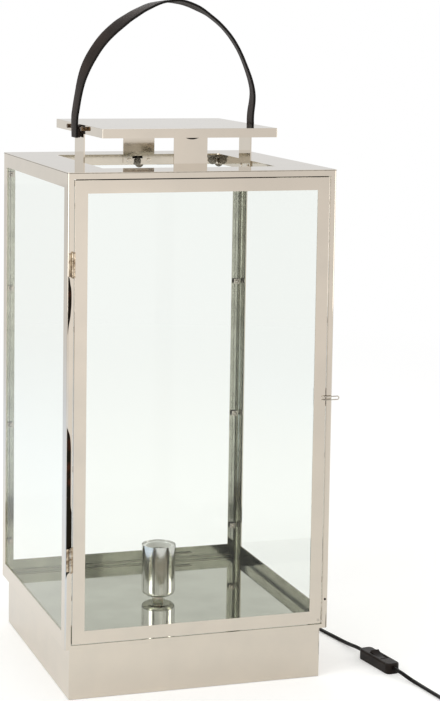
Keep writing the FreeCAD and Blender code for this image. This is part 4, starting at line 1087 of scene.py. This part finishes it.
# Near the object the floor takes the shadow. Further off it turns into a plain glow of the same
# brightness as the walls, so that no horizon shows, neither straight nor mirrored.
def floorMaterial():
    material, tree, shader, place = newMaterial("matt white paper", {
        "Roughness": 0.9, "Specular IOR Level": 0.1, "Emission Color": white})
    rays = addNode(tree, "ShaderNodeLightPath").outputs
    seen = seenRays(tree, rays)
    axes = addNode(tree, "ShaderNodeSeparateXYZ", {}, {0: place}).outputs
    away = addNode(tree, "ShaderNodeVectorMath", {"operation": "LENGTH"}, {0: place})
    # mirrors see it a little brighter to the left of the line on which the camera stands
    across = addNode(tree, "ShaderNodeMath", {"operation": "MULTIPLY_ADD"},
                     {0: axes["Y"], 1: studio["cameraSlope"], 2: axes["X"]})
    ofLine, ofSide = studio["brightFades"]
    bright = maskOf(tree, (across, *ofLine), (axes["X"], *ofSide))
    mirrored = addNode(tree, "ShaderNodeMath", {"operation": "MULTIPLY_ADD"},
                       {0: bright, 1: studio["brightLift"], 2: studio["mirrorLift"]})
    inMirror = addNode(tree, "ShaderNodeMath", {"operation": "MULTIPLY"},
                       {0: mirrored, 1: rays["Is Glossy Ray"]})
    # and cooler on the left
    cool = maskOf(tree, (axes["X"], *studio["coolFade"]), (rays["Is Glossy Ray"], 0.0, 1.0))
    setInputs(shader, {
        "Base Color": painted(tree, hexColour(studio["floorColour"]),
                              (cool, studio["coolFloor"])),
        "Emission Strength": addNode(tree, "ShaderNodeMath", {"operation": "MULTIPLY_ADD"},
                                     {0: seen, 1: studio["floorLift"], 2: inMirror})})
    walls = painted(tree, studio["mirrorLow"],
                    (maskOf(tree, (away, *studio["lowFade"])), studio["mirrorFront"]),
                    (bright, studio["mirrorBright"]),
                    (maskOf(tree, (axes["Y"], *studio["backFade"])), studio["mirrorBack"]),
                    (seen, white))
    glow = addNode(tree, "ShaderNodeEmission", {}, {"Color": walls, "Strength": 1.0})
    mix = addNode(tree, "ShaderNodeMixShader", {}, {
        "Fac": maskOf(tree, (away, *studio["floorFade"])), 1: shader, 2: glow})
    setInputs(tree.nodes["Material Output"], {"Surface": mix})
    return material


def makeFloor():
    bm = bmesh.new()
    bmesh.ops.create_grid(bm, x_segments=1, y_segments=1, size=studio["floor"] / 2)
    bmesh.ops.translate(bm, verts=bm.verts, vec=(0, 0, -studio["floorDrop"]))
    data = bpy.data.meshes.new("floor")
    bm.to_mesh(data)
    bm.free()
    data.materials.append(floorMaterial())
    floor = bpy.data.objects.new("floor", data)
    bpy.context.scene.collection.objects.link(floor)


# the walls look white; metal mirrors them in their own tones, and daylight is dimmer
def makeWorld():
    world = bpy.data.worlds.new("soft studio")
    bpy.context.scene.world = world
    world.use_nodes = True
    tree = world.node_tree
    tree.nodes.clear()
    rays = addNode(tree, "ShaderNodeLightPath").outputs
    direction = addNode(tree, "ShaderNodeTexCoord").outputs["Generated"]
    axes = addNode(tree, "ShaderNodeSeparateXYZ", {}, {0: direction}).outputs
    ofSide, ofDepth = studio["skyBright"]
    walls = painted(tree, studio["mirrorFront"],
                    (maskOf(tree, (axes["Y"], *studio["skyBack"])), studio["mirrorBack"]),
                    (maskOf(tree, (axes["X"], *ofSide), (axes["Y"], *ofDepth)),
                     studio["mirrorBright"]),
                    (maskOf(tree, (axes["X"], *studio["skyLeft"])), studio["mirrorLeft"]))
    dim = studio["daylight"]
    colour = painted(tree, (dim, dim, dim, 1), (rays["Is Glossy Ray"], walls),
                     (seenRays(tree, rays), white))
    light = addNode(tree, "ShaderNodeBackground", {}, {"Color": colour, "Strength": 1.0})
    addNode(tree, "ShaderNodeOutputWorld", {}, {"Surface": light})


def addLight(name, place, target, size, power, colour):
    data = bpy.data.lights.new(name, "AREA")
    data.shape = "RECTANGLE"
    data.size, data.size_y = size
    data.energy = power
    data.color = hexColour(colour)[:3]
    lamp = bpy.data.objects.new(name, data)
    bpy.context.scene.collection.objects.link(lamp)
    lamp.location = place
    lamp.rotation_euler = (Vector(target) - Vector(place)).to_track_quat("-Z", "Y").to_euler()


# name, place, target, size in metres, power in watts and colour
lights = [
    ("key", (-1.2, -1.0, 2.4), (0, 0, 0.3), (1.2, 1.2), 12, "#ffffff"),
    ("back", (0.2, 1.9, 2.1), (0, 0, 0.4), (1.2, 1.2), 9, "#ffffff"),
    # soft boxes at both sides, for the bright lines in round metal
    ("box left", (-2.1, -0.75, 0.95), (0, 0, 0.4), (0.8, 1.8), 14, "#ffffff"),
    ("box right", (2.1, -0.7, 0.95), (0, 0, 0.4), (0.8, 1.8), 14, "#fffaf4"),
]

# the camera was fitted to the edges of the case
photo = {
    "wide": 440,
    "high": 701,
    "centre": (190.0, 220.0),
    "focal": 1991.007,
    "place": (-0.670297, -2.141424, 0.733948),
    "yaw": 0.31713,
    "pitch": 0.10442,
    "roll": 0.01382,
    "sensor": 36.0,
}


def makeCamera():
    yaw, pitch, roll = photo["yaw"], photo["pitch"], photo["roll"]
    forward = Vector((math.sin(yaw) * math.cos(pitch), math.cos(yaw) * math.cos(pitch),
                      -math.sin(pitch)))
    level = Vector((math.cos(yaw), -math.sin(yaw), 0))
    over = level.cross(forward)
    right = level * math.cos(roll) + over * math.sin(roll)
    up = over * math.cos(roll) - level * math.sin(roll)
    data = bpy.data.cameras.new("camera")
    camera = bpy.data.objects.new("camera", data)
    bpy.context.scene.collection.objects.link(camera)
    turn = Matrix((right, up, -forward)).transposed()
    camera.matrix_world = Matrix.Translation(photo["place"]) @ turn.to_4x4()
    data.sensor_width = photo["sensor"]
    data.lens = photo["focal"] * photo["sensor"] / photo["high"]
    data.shift_x = (photo["wide"] / 2 - photo["centre"][0]) / photo["high"]
    data.shift_y = (photo["centre"][1] - photo["high"] / 2) / photo["high"]
    bpy.context.scene.camera = camera


makeFloor()
makeWorld()
for light in lights:
    addLight(*light)
makeCamera()
bpy.context.scene.view_settings.view_transform = "Standard"
print("surroundings made")
